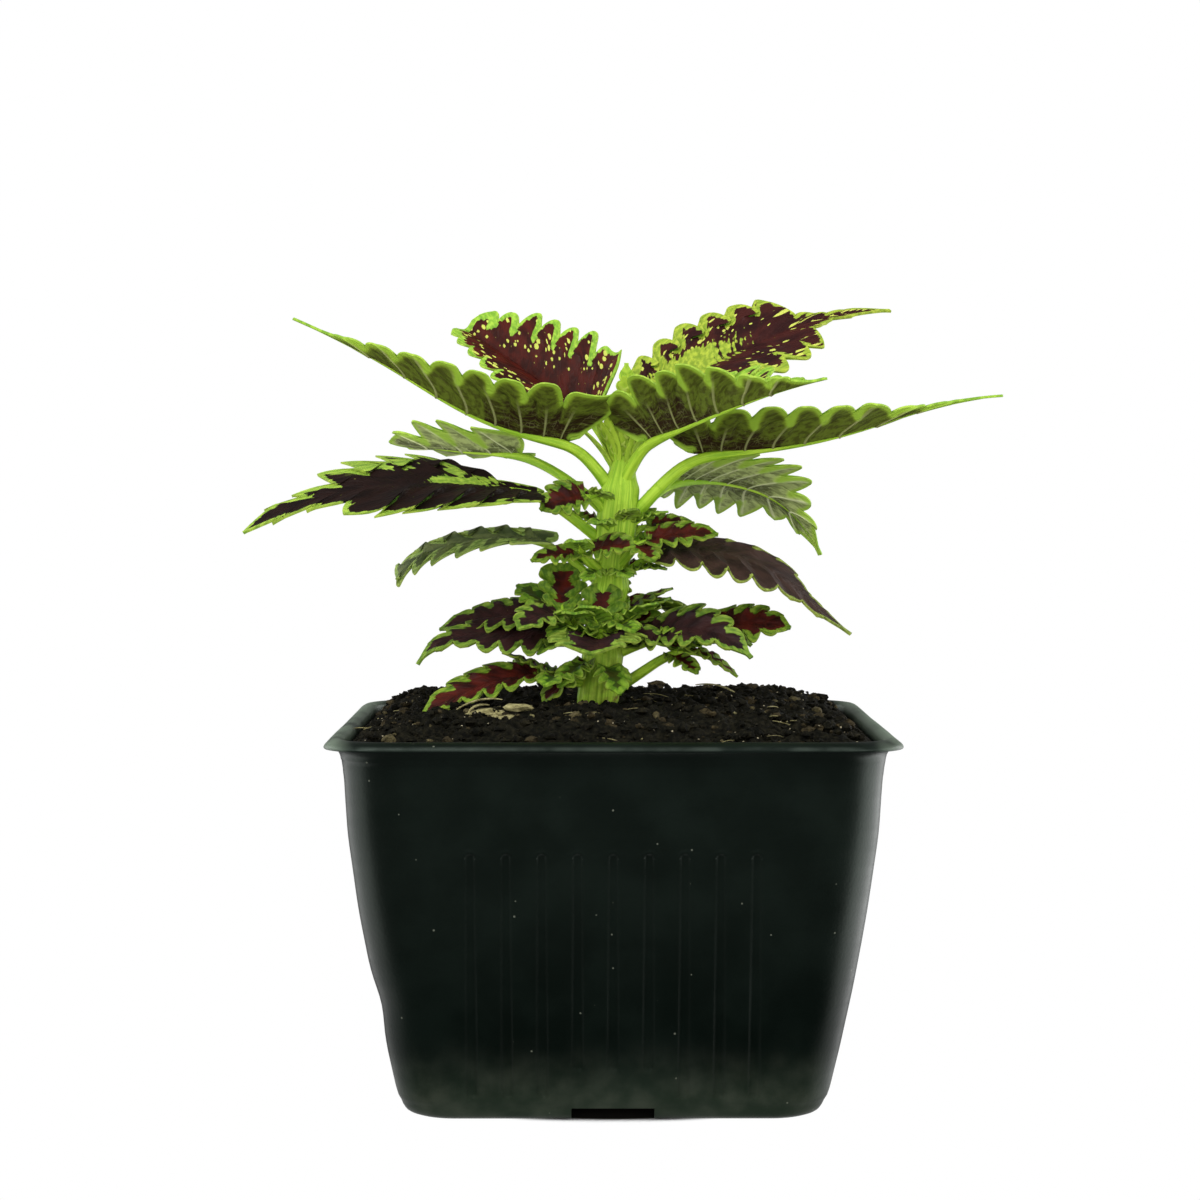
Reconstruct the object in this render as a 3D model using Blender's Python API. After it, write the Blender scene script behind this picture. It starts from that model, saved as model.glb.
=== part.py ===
"""Potted coleus: a square plastic nursery pot, potting soil, a fleshy stem, large leaves and side shoots.

Metres, +Z up. The origin is the middle of the pot's base, on the surface that it stands on. -Y is the front.
"""

import math
from dataclasses import dataclass

import bmesh
import bpy
import numpy as np
from mathutils import Vector

GAP = 0.0003  # clearance where one piece touches another
MERGE = 0.000001  # vertices closer than this are one after a Boolean

# The pot. Half widths are from the pot's axis to the outer face of a side.
WALL = 0.0013
FLOOR_TOP = 0.0043
NOTCH_HEIGHT = 0.0027  # a notch under the middle of each side lets water out
NOTCH_WIDTH = 0.0175
NOTCH_INNER = 0.0270  # from the pot's axis to the inner end of a notch
WALL_PROFILE = (  # height, half width, corner radius: the sides bow out under the soil's weight
    (0.0000, 0.0425, 0.0090),
    (0.0009, 0.0446, 0.0098),
    (0.0036, 0.0459, 0.0105),
    (0.0122, 0.0477, 0.0110),
    (0.0274, 0.0508, 0.0115),
    (0.0446, 0.0537, 0.0118),
    (0.0608, 0.0558, 0.0120),
    (0.0745, 0.0566, 0.0120),
    (0.0786, 0.0574, 0.0118),
)
RIM_PROFILE = (  # from under the flange, round its edge, to the mouth
    (0.0796, 0.0586, 0.0118),
    (0.0789, 0.0603, 0.0118),
    (0.0799, 0.0604, 0.0118),
    (0.0813, 0.0582, 0.0112),
    (0.0807, 0.0565, 0.0108),
)
CORNER_STEPS = 4
GROOVES = 9
GROOVE_PITCH = 0.0074
GROOVE_TOP = 0.0578
GROOVE_FOOT = 0.0050
NOTCHED_GROOVE_FOOT = 0.0110  # the three grooves above a notch stop higher
GROOVE_WIDTH = (0.0026, 0.0019)  # at the foot and at the top
GROOVE_DEPTH = (0.0008, 0.0004)
GROOVE_DOME_ROW = 0.7  # share of the round top's height where its last row of vertices lies
DRAIN_HOLE = 0.0042  # radius
DRAIN_REACH = 0.0345  # from the pot's axis to a drain hole, in the roof of a notch
DRAIN_SIDES = 10

# The soil.
SOIL_BOTTOM = 0.0046
SOIL_EDGE = 0.0792  # height of the soil's edge against the wall
SOIL_CROWN = 0.0856
SOIL_LUMP = 0.0011  # most that the surface rises or falls by chance
SOIL_EDGE_CALM = (4.0, 0.25)  # how fast that grows away from the wall, and its share at the wall
SOIL_SIDE_PARTS = 7
SOIL_RINGS = (0.96, 0.86, 0.72, 0.56, 0.40, 0.24, 0.10)  # shares of the way from the stem's hole to the edge
SOIL_SEED = 7
SOIL_HOLE_REACH = 0.0060  # radius of the hole round the stem's foot

# The main stem.
STEM_FOOT = Vector((-0.0030, 0.0, 0.0860))  # where it leaves the soil
STEM_LEAN = 0.105  # sideways for each unit up
STEM_POINTS = 16
STEM_SQUARENESS = 3.2
STEM_RADII = (  # height, half the thickness of the square stem; it swells at each pair of leaves
    (0.0650, 0.0030),
    (0.0780, 0.0042),
    (0.0860, 0.0047),
    (0.0940, 0.0046),
    (0.1000, 0.0039),
    (0.1060, 0.0038),
    (0.1110, 0.0042),
    (0.1150, 0.0037),
    (0.1200, 0.0044),
    (0.1270, 0.0046),
    (0.1320, 0.0045),
    (0.1370, 0.0038),
    (0.1420, 0.0027),
    (0.1470, 0.0016),
)

BLADE_THICKNESS = 0.0007
TIP_WIDTH = 0.0005
FLAT_WIDTH = 0.0030  # a blade narrower than this folds less
RIB_DEPTH = 0.45  # how far the midrib stands out below, as a share of the petiole's radius
VEIN_SWEEP = 1.35  # side veins leave the midrib nearer the base than they end
LARGE_REACH = (0.0, 0.55, 1.0)  # shares of the half width where a blade has vertices
LARGE_MARKS = (0.0, 0.32, 0.74)  # shares of a tooth where its margin has vertices
LARGE_STALK_ROWS = 4
SMALL_REACH = (0.0, 1.0)
SMALL_MARKS = (0.0, 0.5)
SMALL_STALK_ROWS = 2
SHOOT_RINGS = 3
SPINE_POINTS = 97
TOOTHED_FROM = 0.05  # shares of the margin that bear teeth
TOOTHED_TO = 0.86
TIP_MARK = 0.93  # one more row of vertices in the tip
TOOTH_LEAN = 0.20  # teeth lean towards the tip by this share of their pitch
FULLNESS = 0.50  # how blunt the blade's base is
TIP_TAPER = (0.55, 0.17)  # share of the length where the slim tip starts, and over which it narrows
BODY_REACH = 0.86  # the inner vertices spread over this share of the half width
FOLD_FADE = 0.35  # the fold opens by this share towards the tip
STALK_END = 0.92  # share of the petiole where its last row of vertices lies
STALK_TAPER = (1.15, 0.90)  # a petiole's radius at its foot and at its end, as a share of its thickness
STALK_EDGE = 0.15  # least of the squared half thickness that a petiole keeps at its sides
SHOOT_TAPER = (1.15, 0.80)
YOUNG_LIFT = 50.0  # elevation that a small leaf's petiole comes from
YOUNG_BEND = (0.5, 0.2)  # how much of that is left at the foot and at the end of the petiole
YOUNG_STALK = 0.18  # petiole and half width of a small leaf, as shares of its length
YOUNG_WIDTH = 0.34
LOW_EDGE = 0.8  # the blade starts this share of the petiole's radius wide


@dataclass
class Leaf:
    """A blade and its petiole. Angles are in degrees: azimuth 0 is +X, 90 is +Y, elevation is above level."""

    azimuth: float
    length: float
    half_width: float
    petiole: float
    petiole_rise: tuple  # elevation along the petiole, from its foot
    rise: tuple  # elevation along the blade, from base to tip
    foot: float = 0.0  # height on the main stem, or share of the length of its shoot
    turn: float = 0.0  # change of azimuth along the blade
    roll: float = 0.0  # raises the left side, seen along the leaf
    fold: tuple = (20.0, 20.0)  # upward fold of the left and the right half
    droop: float = 14.0  # how far the halves arch down again towards the margin
    teeth: int = 8
    notch: float = 0.32  # depth of the notches between teeth, as a share of the half width
    thick: float = 0.0012  # petiole radius
    wave: float = 0.0008
    widest: float = 0.28  # where the blade is widest, as a share of its length
    slim: float = 0.40  # how much narrower than an oval the long tip is


@dataclass
class Shoot:
    """A side shoot: a small stem with leaves."""

    azimuth: float
    length: float
    rise: tuple
    foot: float  # height on the main stem
    leaves: tuple
    turn: float = 0.0
    thick: float = 0.0013


LARGE_LEAVES = {
    "leaf_top_left": Leaf(
        198, 0.0700, 0.0185, 0.0180, (60, 38), (0, 14, 30, 29, 26), 0.1300, fold=(54, 40), thick=0.0016,
        widest=0.20, slim=0.55,
    ),
    "leaf_top_left_back": Leaf(
        130, 0.0540, 0.0185, 0.0170, (64, 48), (18, 28, 14), 0.1345, fold=(44, 66), thick=0.0015,
        teeth=7, widest=0.42, slim=0.0,
    ),
    "leaf_top_right_back": Leaf(
        26, 0.0690, 0.0185, 0.0180, (78, 60), (32, 24, 18, 2), 0.1345, roll=28, fold=(18, 18), thick=0.0015,
        slim=0.55, widest=0.30,
    ),
    "leaf_top_right_front": Leaf(
        306, 0.0590, 0.0180, 0.0160, (60, 36), (8, 14, 14, 8), 0.1315, turn=4, fold=(62, 54), thick=0.0015,
        teeth=7,
    ),
    "leaf_middle_right": Leaf(
        344, 0.0700, 0.0165, 0.0262, (50, 42), (2, 17, 16, -8), 0.1220, fold=(24, 40), thick=0.0017,
    ),
    "leaf_middle_left_back": Leaf(
        148, 0.0400, 0.0135, 0.0310, (54, 30), (4, 6, 8), 0.1250, roll=24, fold=(12, 14), thick=0.0013, teeth=6,
    ),
    "leaf_middle_right_back": Leaf(
        38, 0.0480, 0.0158, 0.0220, (52, 24), (6, -16, -62), 0.1215, roll=-22, fold=(14, 14), thick=0.0013,
        teeth=7,
    ),
    "leaf_middle_left": Leaf(
        194, 0.0665, 0.0175, 0.0215, (40, 34), (10, -1, -31), 0.1190, roll=-14, fold=(4, 9), thick=0.0014,
    ),
    "leaf_lower_left": Leaf(
        172, 0.0375, 0.0110, 0.0180, (42, 30), (8, -8, -22, -66), 0.1095, fold=(16, 14), thick=0.0010, teeth=6,
    ),
    "leaf_lower_right": Leaf(
        344, 0.0495, 0.0150, 0.0140, (44, 32), (8, -12, -42, -34), 0.1105, roll=12, fold=(4, 2), thick=0.0011,
        teeth=7,
    ),
}


def small_leaf(azimuth, length, rise, foot, half_width=0.0, **more):
    """A leaf of a side shoot. The petiole grows with the blade."""
    options = {"teeth": 4, "thick": 0.0006, "slim": 0.2, "notch": 0.30, "droop": 10.0, "wave": 0.0004, **more}
    stalk = options.pop("petiole", YOUNG_STALK * length)
    lift = options.pop("petiole_rise", tuple(rise[0] + bend * (YOUNG_LIFT - rise[0]) for bend in YOUNG_BEND))
    return Leaf(azimuth, length, half_width or YOUNG_WIDTH * length, stalk, lift, rise, foot, **options)


SHOOTS = {
    "shoot_upper_left": Shoot(216, 0.0100, (50, 40), 0.1242, (
        small_leaf(206, 0.0115, (0, -20, -24), 0.92, roll=-36, half_width=0.0046),
        small_leaf(300, 0.0070, (10, -10), 0.95),
    )),
    "shoot_middle_left": Shoot(224, 0.0110, (36, 36), 0.1120, (
        small_leaf(328, 0.0105, (20, 6, -10), 0.92, roll=24, petiole=0.0018),
        small_leaf(196, 0.0110, (6, -20), 0.85),
        small_leaf(262, 0.0070, (40, 20), 1.0),
    )),
    "shoot_middle_right": Shoot(312, 0.0110, (40, 40), 0.1135, (
        small_leaf(352, 0.0160, (12, 6, -6), 0.95, roll=24),
        small_leaf(292, 0.0095, (-10, -30), 0.90),
    )),
    "shoot_upper_right": Shoot(12, 0.0085, (46, 36), 0.1185, (
        small_leaf(354, 0.0100, (10, 0, -20), 0.95),
        small_leaf(46, 0.0070, (0, -20), 0.90),
    ), thick=0.0010),
    "shoot_low_left": Shoot(204, 0.0130, (46, 34), 0.0960, (
        small_leaf(194, 0.0350, (-2, -2, -6, -60), 0.42, petiole=0.006, half_width=0.0105, teeth=6, roll=-18,
                   fold=(6, 4)),
        small_leaf(170, 0.0255, (0, -6, -20), 0.86, teeth=5, half_width=0.0080),
        small_leaf(92, 0.0110, (62, 66), 1.0, half_width=0.0050, petiole=0.0018),
    )),
    "shoot_low_front": Shoot(270, 0.0105, (50, 50), 0.0925, (
        small_leaf(262, 0.0200, (0, -20, -40), 0.7, half_width=0.0085, teeth=6),
        small_leaf(216, 0.0150, (-20, -40, -40), 0.35, petiole=0.004, petiole_rise=(-10, -30)),
        small_leaf(84, 0.0090, (74, 84), 1.0, half_width=0.0045, petiole=0.0018),
    )),
    "shoot_low_right": Shoot(345, 0.0200, (26, 14), 0.0945, (
        small_leaf(320, 0.0330, (22, 8, -14, -40), 0.36, petiole=0.003, half_width=0.0080, teeth=6, roll=30),
        small_leaf(342, 0.0172, (8, 0, -8), 0.95, petiole=0.0085, petiole_rise=(8, 8), half_width=0.0062,
                   roll=28),
        small_leaf(60, 0.0100, (10, -10), 0.80),
    )),
    "shoot_base_right": Shoot(340, 0.0210, (-4, 32, 34, 16), 0.0880, (
        small_leaf(346, 0.0130, (-6, -30, -36), 0.97),
        small_leaf(306, 0.0100, (-10, -30), 0.85),
        small_leaf(70, 0.0090, (20, 0), 0.95),
    ), thick=0.0015),
    "shoot_base_left": Shoot(208, 0.0110, (10, 0), 0.0890, (
        small_leaf(203, 0.0290, (0, -18, -28), 0.92, teeth=5, half_width=0.0080, roll=-16),
        small_leaf(150, 0.0100, (20, 10), 0.8),
    )),
    "shoot_low_back": Shoot(76, 0.0130, (46, 36), 0.0960, (
        small_leaf(40, 0.0210, (10, -10, -30), 0.95, teeth=5),
        small_leaf(122, 0.0200, (16, 0, -20), 0.80, teeth=5),
        small_leaf(84, 0.0090, (66, 60), 1.0),
    )),
    "growing_tip": Shoot(80, 0.0030, (80, 84), 0.1450, (
        small_leaf(88, 0.0170, (70, 84, 78), 0.8, half_width=0.0036),
        small_leaf(262, 0.0145, (62, 84, 80), 0.8, half_width=0.0036),
    ), thick=0.0011),
}


def stem_centre(height):
    """The point on the main stem's centreline at this height."""
    return Vector((STEM_FOOT.x + STEM_LEAN * (height - STEM_FOOT.z), STEM_FOOT.y, height))


class Spine:
    """A curve that turns steadily in azimuth and elevation, with a tangent, a left side and an upper side."""

    def __init__(self, start, azimuth, turn, rise, length, roll=0.0):
        self.length = length
        share = np.linspace(0.0, 1.0, SPINE_POINTS)
        self.along = share * length
        heading = np.radians(azimuth + turn * share)
        lift = np.radians(np.interp(share, np.linspace(0.0, 1.0, len(rise)), rise))
        level = np.cos(lift)
        self.tangent = np.stack([level * np.cos(heading), level * np.sin(heading), np.sin(lift)], 1)
        steps = (self.tangent[1:] + self.tangent[:-1]) / 2 * length / (SPINE_POINTS - 1)
        self.points = np.vstack([np.zeros(3), np.cumsum(steps, axis=0)]) + np.array(start)
        left = np.stack([-np.sin(heading), np.cos(heading), np.zeros_like(share)], 1)
        upper = np.cross(self.tangent, left)
        tilt = math.radians(roll)
        self.left = math.cos(tilt) * left + math.sin(tilt) * upper
        self.upper = math.cos(tilt) * upper - math.sin(tilt) * left

    def read(self, values, distance):
        """The curve's values at these distances from its start. Past the ends it stays at the end's value."""
        flat = np.ravel(distance)
        read = np.stack([np.interp(flat, self.along, values[:, axis]) for axis in range(3)], -1)
        return read.reshape(*np.shape(distance), 3)


def petiole_spine(leaf, start):
    return Spine(start, leaf.azimuth, 0.0, leaf.petiole_rise, leaf.petiole, leaf.roll)


def blade_spine(leaf, start):
    return Spine(start, leaf.azimuth, leaf.turn, leaf.rise, leaf.length, leaf.roll)


def shoot_spine(shoot):
    return Spine(stem_centre(shoot.foot), shoot.azimuth, shoot.turn, shoot.rise, shoot.length)


def shoot_leaf_start(shoot, leaf):
    spine = shoot_spine(shoot)
    return spine.read(spine.points, leaf.foot * shoot.length)


def tooth_height(phase):
    """A rounded tooth: 0 in the notch at phase 0 and 1, and 1 on the crown."""
    return np.sqrt(np.clip(4 * phase * (1 - phase), 0.0, 1.0))


def tooth_phase(leaf, share):
    """How many teeth lie between the base and this share of the margin."""
    return np.clip((share - TOOTHED_FROM) / (TOOTHED_TO - TOOTHED_FROM), 0.0, 1.0) * leaf.teeth


def body_width(leaf, share):
    """Half width of the blade without its notches: an oval with a long narrow tip."""
    taper = FULLNESS * (1 - leaf.widest) / leaf.widest
    oval = share**FULLNESS * (1 - share) ** taper
    oval = oval / (leaf.widest**FULLNESS * (1 - leaf.widest) ** taper)
    towards_tip = np.clip((share - TIP_TAPER[0]) / TIP_TAPER[1], 0.0, 1.0)
    return leaf.half_width * oval * (1 - leaf.slim * towards_tip**2 * (3 - 2 * towards_tip))


def margin(leaf, share):
    """Distance along the midrib, half width without notches, and half width with them."""
    phase = tooth_phase(leaf, share)
    toothed = (phase > 0) & (phase < leaf.teeth)
    tooth = np.where(toothed, tooth_height(phase % 1.0), 1.0)
    lean = np.where(toothed, TOOTH_LEAN * leaf.length / leaf.teeth * tooth, 0.0)
    body = body_width(leaf, share)
    return leaf.length * share + lean, body, body * (1 - leaf.notch * (1 - tooth))


def stations(leaf, marks):
    """Shares along a side that catch each notch and each crown of its teeth."""
    pitch = (TOOTHED_TO - TOOTHED_FROM) / leaf.teeth
    inner = [TOOTHED_FROM + pitch * (tooth + mark) for tooth in range(leaf.teeth) for mark in marks]
    return np.array([0.0, *inner, TOOTHED_TO, TIP_MARK, 1.0])


def blade_points(leaf, spine, share, across, reach):
    """Points and unit normals of half a blade (across 1 is left, -1 right), by station and share of the width."""
    along_margin, body, cut = margin(leaf, share)
    least = np.where(share < 0.5, LOW_EDGE * leaf.thick, TIP_WIDTH)
    body, cut = np.maximum(body, least), np.maximum(cut, least)
    rooted = leaf.length * share**VEIN_SWEEP
    at_margin = reach[None, :] == 1.0
    width = reach[None, :] * np.where(at_margin, cut[:, None], BODY_REACH * body[:, None])
    along = np.minimum(rooted[:, None] + reach[None, :] * (along_margin - rooted)[:, None], leaf.length)
    fold = math.radians(leaf.fold[0] if across > 0 else leaf.fold[1])
    first_angle = fold * (1.0 - FOLD_FADE * along / leaf.length) * np.minimum(1.0, body / FLAT_WIDTH)[:, None]
    arch = math.radians(leaf.droop) / leaf.half_width
    angle = first_angle - arch * width
    sideways = (np.sin(first_angle) - np.sin(angle)) / arch
    upward = (np.cos(angle) - np.cos(first_angle)) / arch
    phase = tooth_phase(leaf, share)[:, None]
    ripple = leaf.wave * np.cos(2 * math.pi * phase) * (width / leaf.half_width) ** 2
    middle = spine.read(spine.points, along)
    left, upper = spine.read(spine.left, along), spine.read(spine.upper, along)
    points = middle + (across * sideways)[..., None] * left + (upward + ripple)[..., None] * upper
    normals = -(across * np.sin(angle))[..., None] * left + np.cos(angle)[..., None] * upper
    normals[:, 0] = upper[:, 0]
    return points, normals


def leaf_mesh(leaf, start, reach, marks, stalk_rows):
    """Vertices and triangles of a petiole that widens into its blade: two like faces, joined at the margin."""
    stalk = petiole_spine(leaf, start)
    at = np.linspace(0.0, STALK_END * leaf.petiole, stalk_rows)
    radius = leaf.thick * np.linspace(*STALK_TAPER, stalk_rows)[:, None]
    across = np.array([*reach[:0:-1], *-np.array(reach)])
    side = stalk.read(stalk.left, at)[:, None]
    middle = stalk.read(stalk.points, at)[:, None] + (radius * across)[..., None] * side
    normals = np.repeat(stalk.read(stalk.upper, at)[:, None], len(across), axis=1)
    roundness = radius * np.sqrt(np.maximum(1 - across**2, STALK_EDGE))

    blade = blade_spine(leaf, stalk.points[-1])
    share = stations(leaf, marks)
    left, left_normals = blade_points(leaf, blade, share, 1, np.array(reach))
    right, right_normals = blade_points(leaf, blade, share, -1, np.array(reach))
    middle = np.concatenate([middle, np.concatenate([left[:, :0:-1], right], axis=1)])
    normals = np.concatenate([normals, np.concatenate([left_normals[:, :0:-1], right_normals], axis=1)])
    half = np.full((len(share), len(across)), BLADE_THICKNESS / 2)
    rib = np.where(across == 0, leaf.thick * RIB_DEPTH, 0.0) * (1 - share[:, None])
    top = middle + np.concatenate([roundness, half])[..., None] * normals
    under = middle - np.concatenate([roundness, half + rib])[..., None] * normals
    return sheet_solid(top, under)


def sheet_solid(top, under):
    """A closed solid from two grids of points, its upper and its lower face, with like triangles on both."""
    rows, columns = top.shape[:2]
    count = rows * columns
    faces = []
    for row in range(rows - 1):
        for column in range(columns - 1):
            a = row * columns + column
            b, c, d = a + 1, a + columns + 1, a + columns
            halves = [(a, b, c), (a, c, d)] if column < columns // 2 else [(a, b, d), (b, c, d)]
            faces += [tri[::-1] for tri in halves]
            faces += [tuple(count + v for v in tri) for tri in halves]
    edge = [row * columns for row in range(rows)]
    edge += [(rows - 1) * columns + column for column in range(1, columns)]
    edge += [row * columns + columns - 1 for row in range(rows - 2, -1, -1)]
    edge += [column for column in range(columns - 2, 0, -1)]
    for a, b in zip(edge, edge[1:] + edge[:1]):
        faces += [(b, a, count + a), (b, count + a, count + b)]
    return np.vstack([top.reshape(-1, 3), under.reshape(-1, 3)]), faces


def tube_mesh(points, sides, uppers, radii, corners=6):
    """Vertices and faces of a capped tube through these points."""
    vertices, faces = [], []
    for point, side, upper, radius in zip(points, sides, uppers, radii):
        for corner in range(corners):
            turn = 2 * math.pi * corner / corners
            vertices.append(point + radius * (math.cos(turn) * side + math.sin(turn) * upper))
    for ring in range(len(points) - 1):
        for corner in range(corners):
            a = ring * corners + corner
            b = ring * corners + (corner + 1) % corners
            faces.append((a, b, b + corners, a + corners))
    faces.append(tuple(range(corners))[::-1])
    last = (len(points) - 1) * corners
    faces.append(tuple(range(last, last + corners)))
    return np.array(vertices), faces


def leaf_start(leaf):
    return np.array(stem_centre(leaf.foot))


def mesh_object(name, vertices, faces, material, smooth=True):
    """A new object from vertices and faces that turn one way round, with its faces turned outwards."""
    mesh = bpy.data.meshes.new(name)
    mesh.from_pydata([tuple(map(float, vertex)) for vertex in vertices], [], faces)
    shape = bmesh.new()
    shape.from_mesh(mesh)
    if shape.calc_volume(signed=True) < 0:
        bmesh.ops.reverse_faces(shape, faces=shape.faces)
    shape.to_mesh(mesh)
    shape.free()
    if smooth:
        mesh.shade_smooth()
        mesh.set_sharp_from_angle(angle=math.radians(40))
    mesh.materials.append(material)
    thing = bpy.data.objects.new(name, mesh)
    bpy.context.scene.collection.objects.link(thing)
    return thing


def remove_object(thing):
    mesh = thing.data
    bpy.data.objects.remove(thing)
    bpy.data.meshes.remove(mesh)


def apply_modifiers(thing):
    """Bakes the modifiers into the mesh, and drops what a Boolean leaves behind: slivers and loose scraps."""
    evaluated = thing.evaluated_get(bpy.context.evaluated_depsgraph_get())
    mesh = bpy.data.meshes.new_from_object(evaluated)
    thing.modifiers.clear()
    old, thing.data = thing.data, mesh
    bpy.data.meshes.remove(old)
    shape = bmesh.new()
    shape.from_mesh(mesh)
    bmesh.ops.remove_doubles(shape, verts=shape.verts, dist=MERGE)
    bmesh.ops.dissolve_degenerate(shape, edges=shape.edges, dist=MERGE)
    bmesh.ops.triangulate(shape, faces=shape.faces)
    islands = face_islands(shape)
    largest = max(islands, key=len)
    scraps = [face for island in islands if island is not largest for face in island]
    bmesh.ops.delete(shape, geom=scraps, context="FACES")
    shape.to_mesh(mesh)
    shape.free()


def face_islands(shape):
    """The faces of a bmesh, in connected groups."""
    waiting, islands = set(shape.faces), []
    while waiting:
        first = waiting.pop()
        island, front = [first], [first]
        while front:
            face = front.pop()
            for edge in face.edges:
                for other in edge.link_faces:
                    if other in waiting:
                        waiting.remove(other)
                        island.append(other)
                        front.append(other)
        islands.append(island)
    return islands


def boolean(thing, operation, pieces, solver="EXACT"):
    """Joins pieces to an object, or cuts them out of it, through one collection, and removes them."""
    group = bpy.data.collections.new(thing.name + "_pieces")
    bpy.context.scene.collection.children.link(group)
    for piece in pieces:
        bpy.context.scene.collection.objects.unlink(piece)
        group.objects.link(piece)
    modifier = thing.modifiers.new(operation.title(), "BOOLEAN")
    modifier.operation = operation
    modifier.operand_type = "COLLECTION"
    modifier.collection = group
    modifier.solver = solver
    apply_modifiers(thing)
    for piece in pieces:
        remove_object(piece)
    bpy.data.collections.remove(group)


def principled(name, colour, roughness, metallic=0.0):
    """A material in one colour, for the whole of a piece."""
    material = bpy.data.materials.new(name)
    material.use_nodes = True
    shader = material.node_tree.nodes["Principled BSDF"]
    shader.inputs["Base Color"].default_value = (*colour, 1.0)
    shader.inputs["Roughness"].default_value = roughness
    shader.inputs["Metallic"].default_value = metallic
    material.diffuse_color = (*colour, 1.0)
    return material


def rounded_square(half, corner, height, steps=CORNER_STEPS, side_parts=1):
    """A ring of points: a square with rounded corners. Each straight side is split into side_parts."""
    ring = []
    for quarter in range(4):
        cosine, sine = math.cos(math.pi / 2 * quarter), math.sin(math.pi / 2 * quarter)
        local = []
        for step in range(steps):
            angle = math.pi / 2 * step / (steps - 1)
            local.append((half - corner + corner * math.cos(angle), half - corner + corner * math.sin(angle)))
        local += [((half - corner) * (1 - 2 * part / side_parts), half) for part in range(1, side_parts)]
        ring += [(x * cosine - y * sine, x * sine + y * cosine, height) for x, y in local]
    return ring


def loft_faces(rings, points, first_cap=True, last_cap=True):
    """Quads between rings of points, and caps on the two ends."""
    faces = []
    for ring in range(rings - 1):
        for point in range(points):
            a = ring * points + point
            b = ring * points + (point + 1) % points
            faces.append((a, b, b + points, a + points))
    if first_cap:
        faces.append(tuple(range(points))[::-1])
    if last_cap:
        last = (rings - 1) * points
        faces.append(tuple(range(last, last + points)))
    return faces


def wall_at(height):
    """Half width and corner radius of the pot's outer wall at this height."""
    heights, halves, corners = zip(*WALL_PROFILE)
    return np.interp(height, heights, halves), np.interp(height, heights, corners)


def groove_cutter(place, foot, turn):
    """A tapered bar with a round top, which sinks into the wall as it goes down."""
    inner_heights = [height for height, _, _ in WALL_PROFILE if foot < height < GROOVE_TOP]
    dome = GROOVE_WIDTH[1] / 2
    rows = [foot, *inner_heights, GROOVE_TOP - dome, GROOVE_TOP - (1 - GROOVE_DOME_ROW) * dome]
    vertices = []
    cosine, sine = math.cos(turn), math.sin(turn)
    for height in rows:
        share = (height - foot) / (GROOVE_TOP - foot)
        width = GROOVE_WIDTH[0] + (GROOVE_WIDTH[1] - GROOVE_WIDTH[0]) * share
        over_dome = max(0.0, height - (GROOVE_TOP - dome)) / dome
        half_width = width / 2 * math.sqrt(1 - over_dome**2)
        depth = GROOVE_DEPTH[0] + (GROOVE_DEPTH[1] - GROOVE_DEPTH[0]) * share
        half, _ = wall_at(height)
        for x, y in ((-1, -depth), (1, -depth), (1, WALL), (-1, WALL)):
            across, outward = place + x * half_width, half + y
            vertices.append((outward * cosine - across * sine, outward * sine + across * cosine, height))
    material = bpy.data.materials["pot_plastic"]
    return mesh_object("groove", vertices, loft_faces(len(rows), 4), material, smooth=False)


def notch_cutter(turn):
    """A box that cuts the notch under one side of the base."""
    cosine, sine = math.cos(turn), math.sin(turn)
    outer, half = WALL_PROFILE[3][1] + WALL, NOTCH_WIDTH / 2
    ring = [(NOTCH_INNER, -half), (outer, -half), (outer, half), (NOTCH_INNER, half)]
    vertices = [
        (outward * cosine - across * sine, outward * sine + across * cosine, height)
        for height in (-WALL, NOTCH_HEIGHT)
        for outward, across in ring
    ]
    return mesh_object("notch", vertices, loft_faces(2, 4), bpy.data.materials["pot_plastic"], smooth=False)


def drain_cutter(x, y):
    ring = [
        (x + DRAIN_HOLE * math.cos(2 * math.pi * side / DRAIN_SIDES),
         y + DRAIN_HOLE * math.sin(2 * math.pi * side / DRAIN_SIDES))
        for side in range(DRAIN_SIDES)
    ]
    vertices = [(*point, height) for height in (-WALL, FLOOR_TOP + WALL) for point in ring]
    return mesh_object("drain", vertices, loft_faces(2, DRAIN_SIDES), bpy.data.materials["pot_plastic"], False)


def build_pot(material):
    """A thin square pot with bowed sides, a flange, and grooves, a notch and a drain hole low on each side."""
    rings = [rounded_square(half, corner, height) for height, half, corner in (*WALL_PROFILE, *RIM_PROFILE)]
    for height, half, corner in reversed(WALL_PROFILE[3:-1]):
        rings.append(rounded_square(half - WALL, corner - WALL, height))
    half, corner = wall_at(FLOOR_TOP)
    rings.append(rounded_square(half - WALL, corner - WALL, FLOOR_TOP))
    vertices = [point for ring in rings for point in ring]
    pot = mesh_object("pot", vertices, loft_faces(len(rings), len(rings[0])), material)
    cutters = []
    for side in range(4):
        for groove in range(GROOVES):
            number = groove - (GROOVES - 1) // 2
            foot = NOTCHED_GROOVE_FOOT if abs(number) <= 1 else GROOVE_FOOT
            cutters.append(groove_cutter(number * GROOVE_PITCH, foot, math.pi / 2 * side))
        cutters.append(notch_cutter(math.pi / 2 * side))
    boolean(pot, "DIFFERENCE", cutters)
    places = [(DRAIN_REACH, 0.0), (0.0, DRAIN_REACH), (-DRAIN_REACH, 0.0), (0.0, -DRAIN_REACH)]
    boolean(pot, "DIFFERENCE", [drain_cutter(x, y) for x, y in places])
    pot.data.shade_smooth()
    pot.data.set_sharp_from_angle(angle=math.radians(30))
    return pot


def stem_half(height):
    heights, halves = zip(*STEM_RADII)
    return float(np.interp(height, heights, halves))


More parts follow.
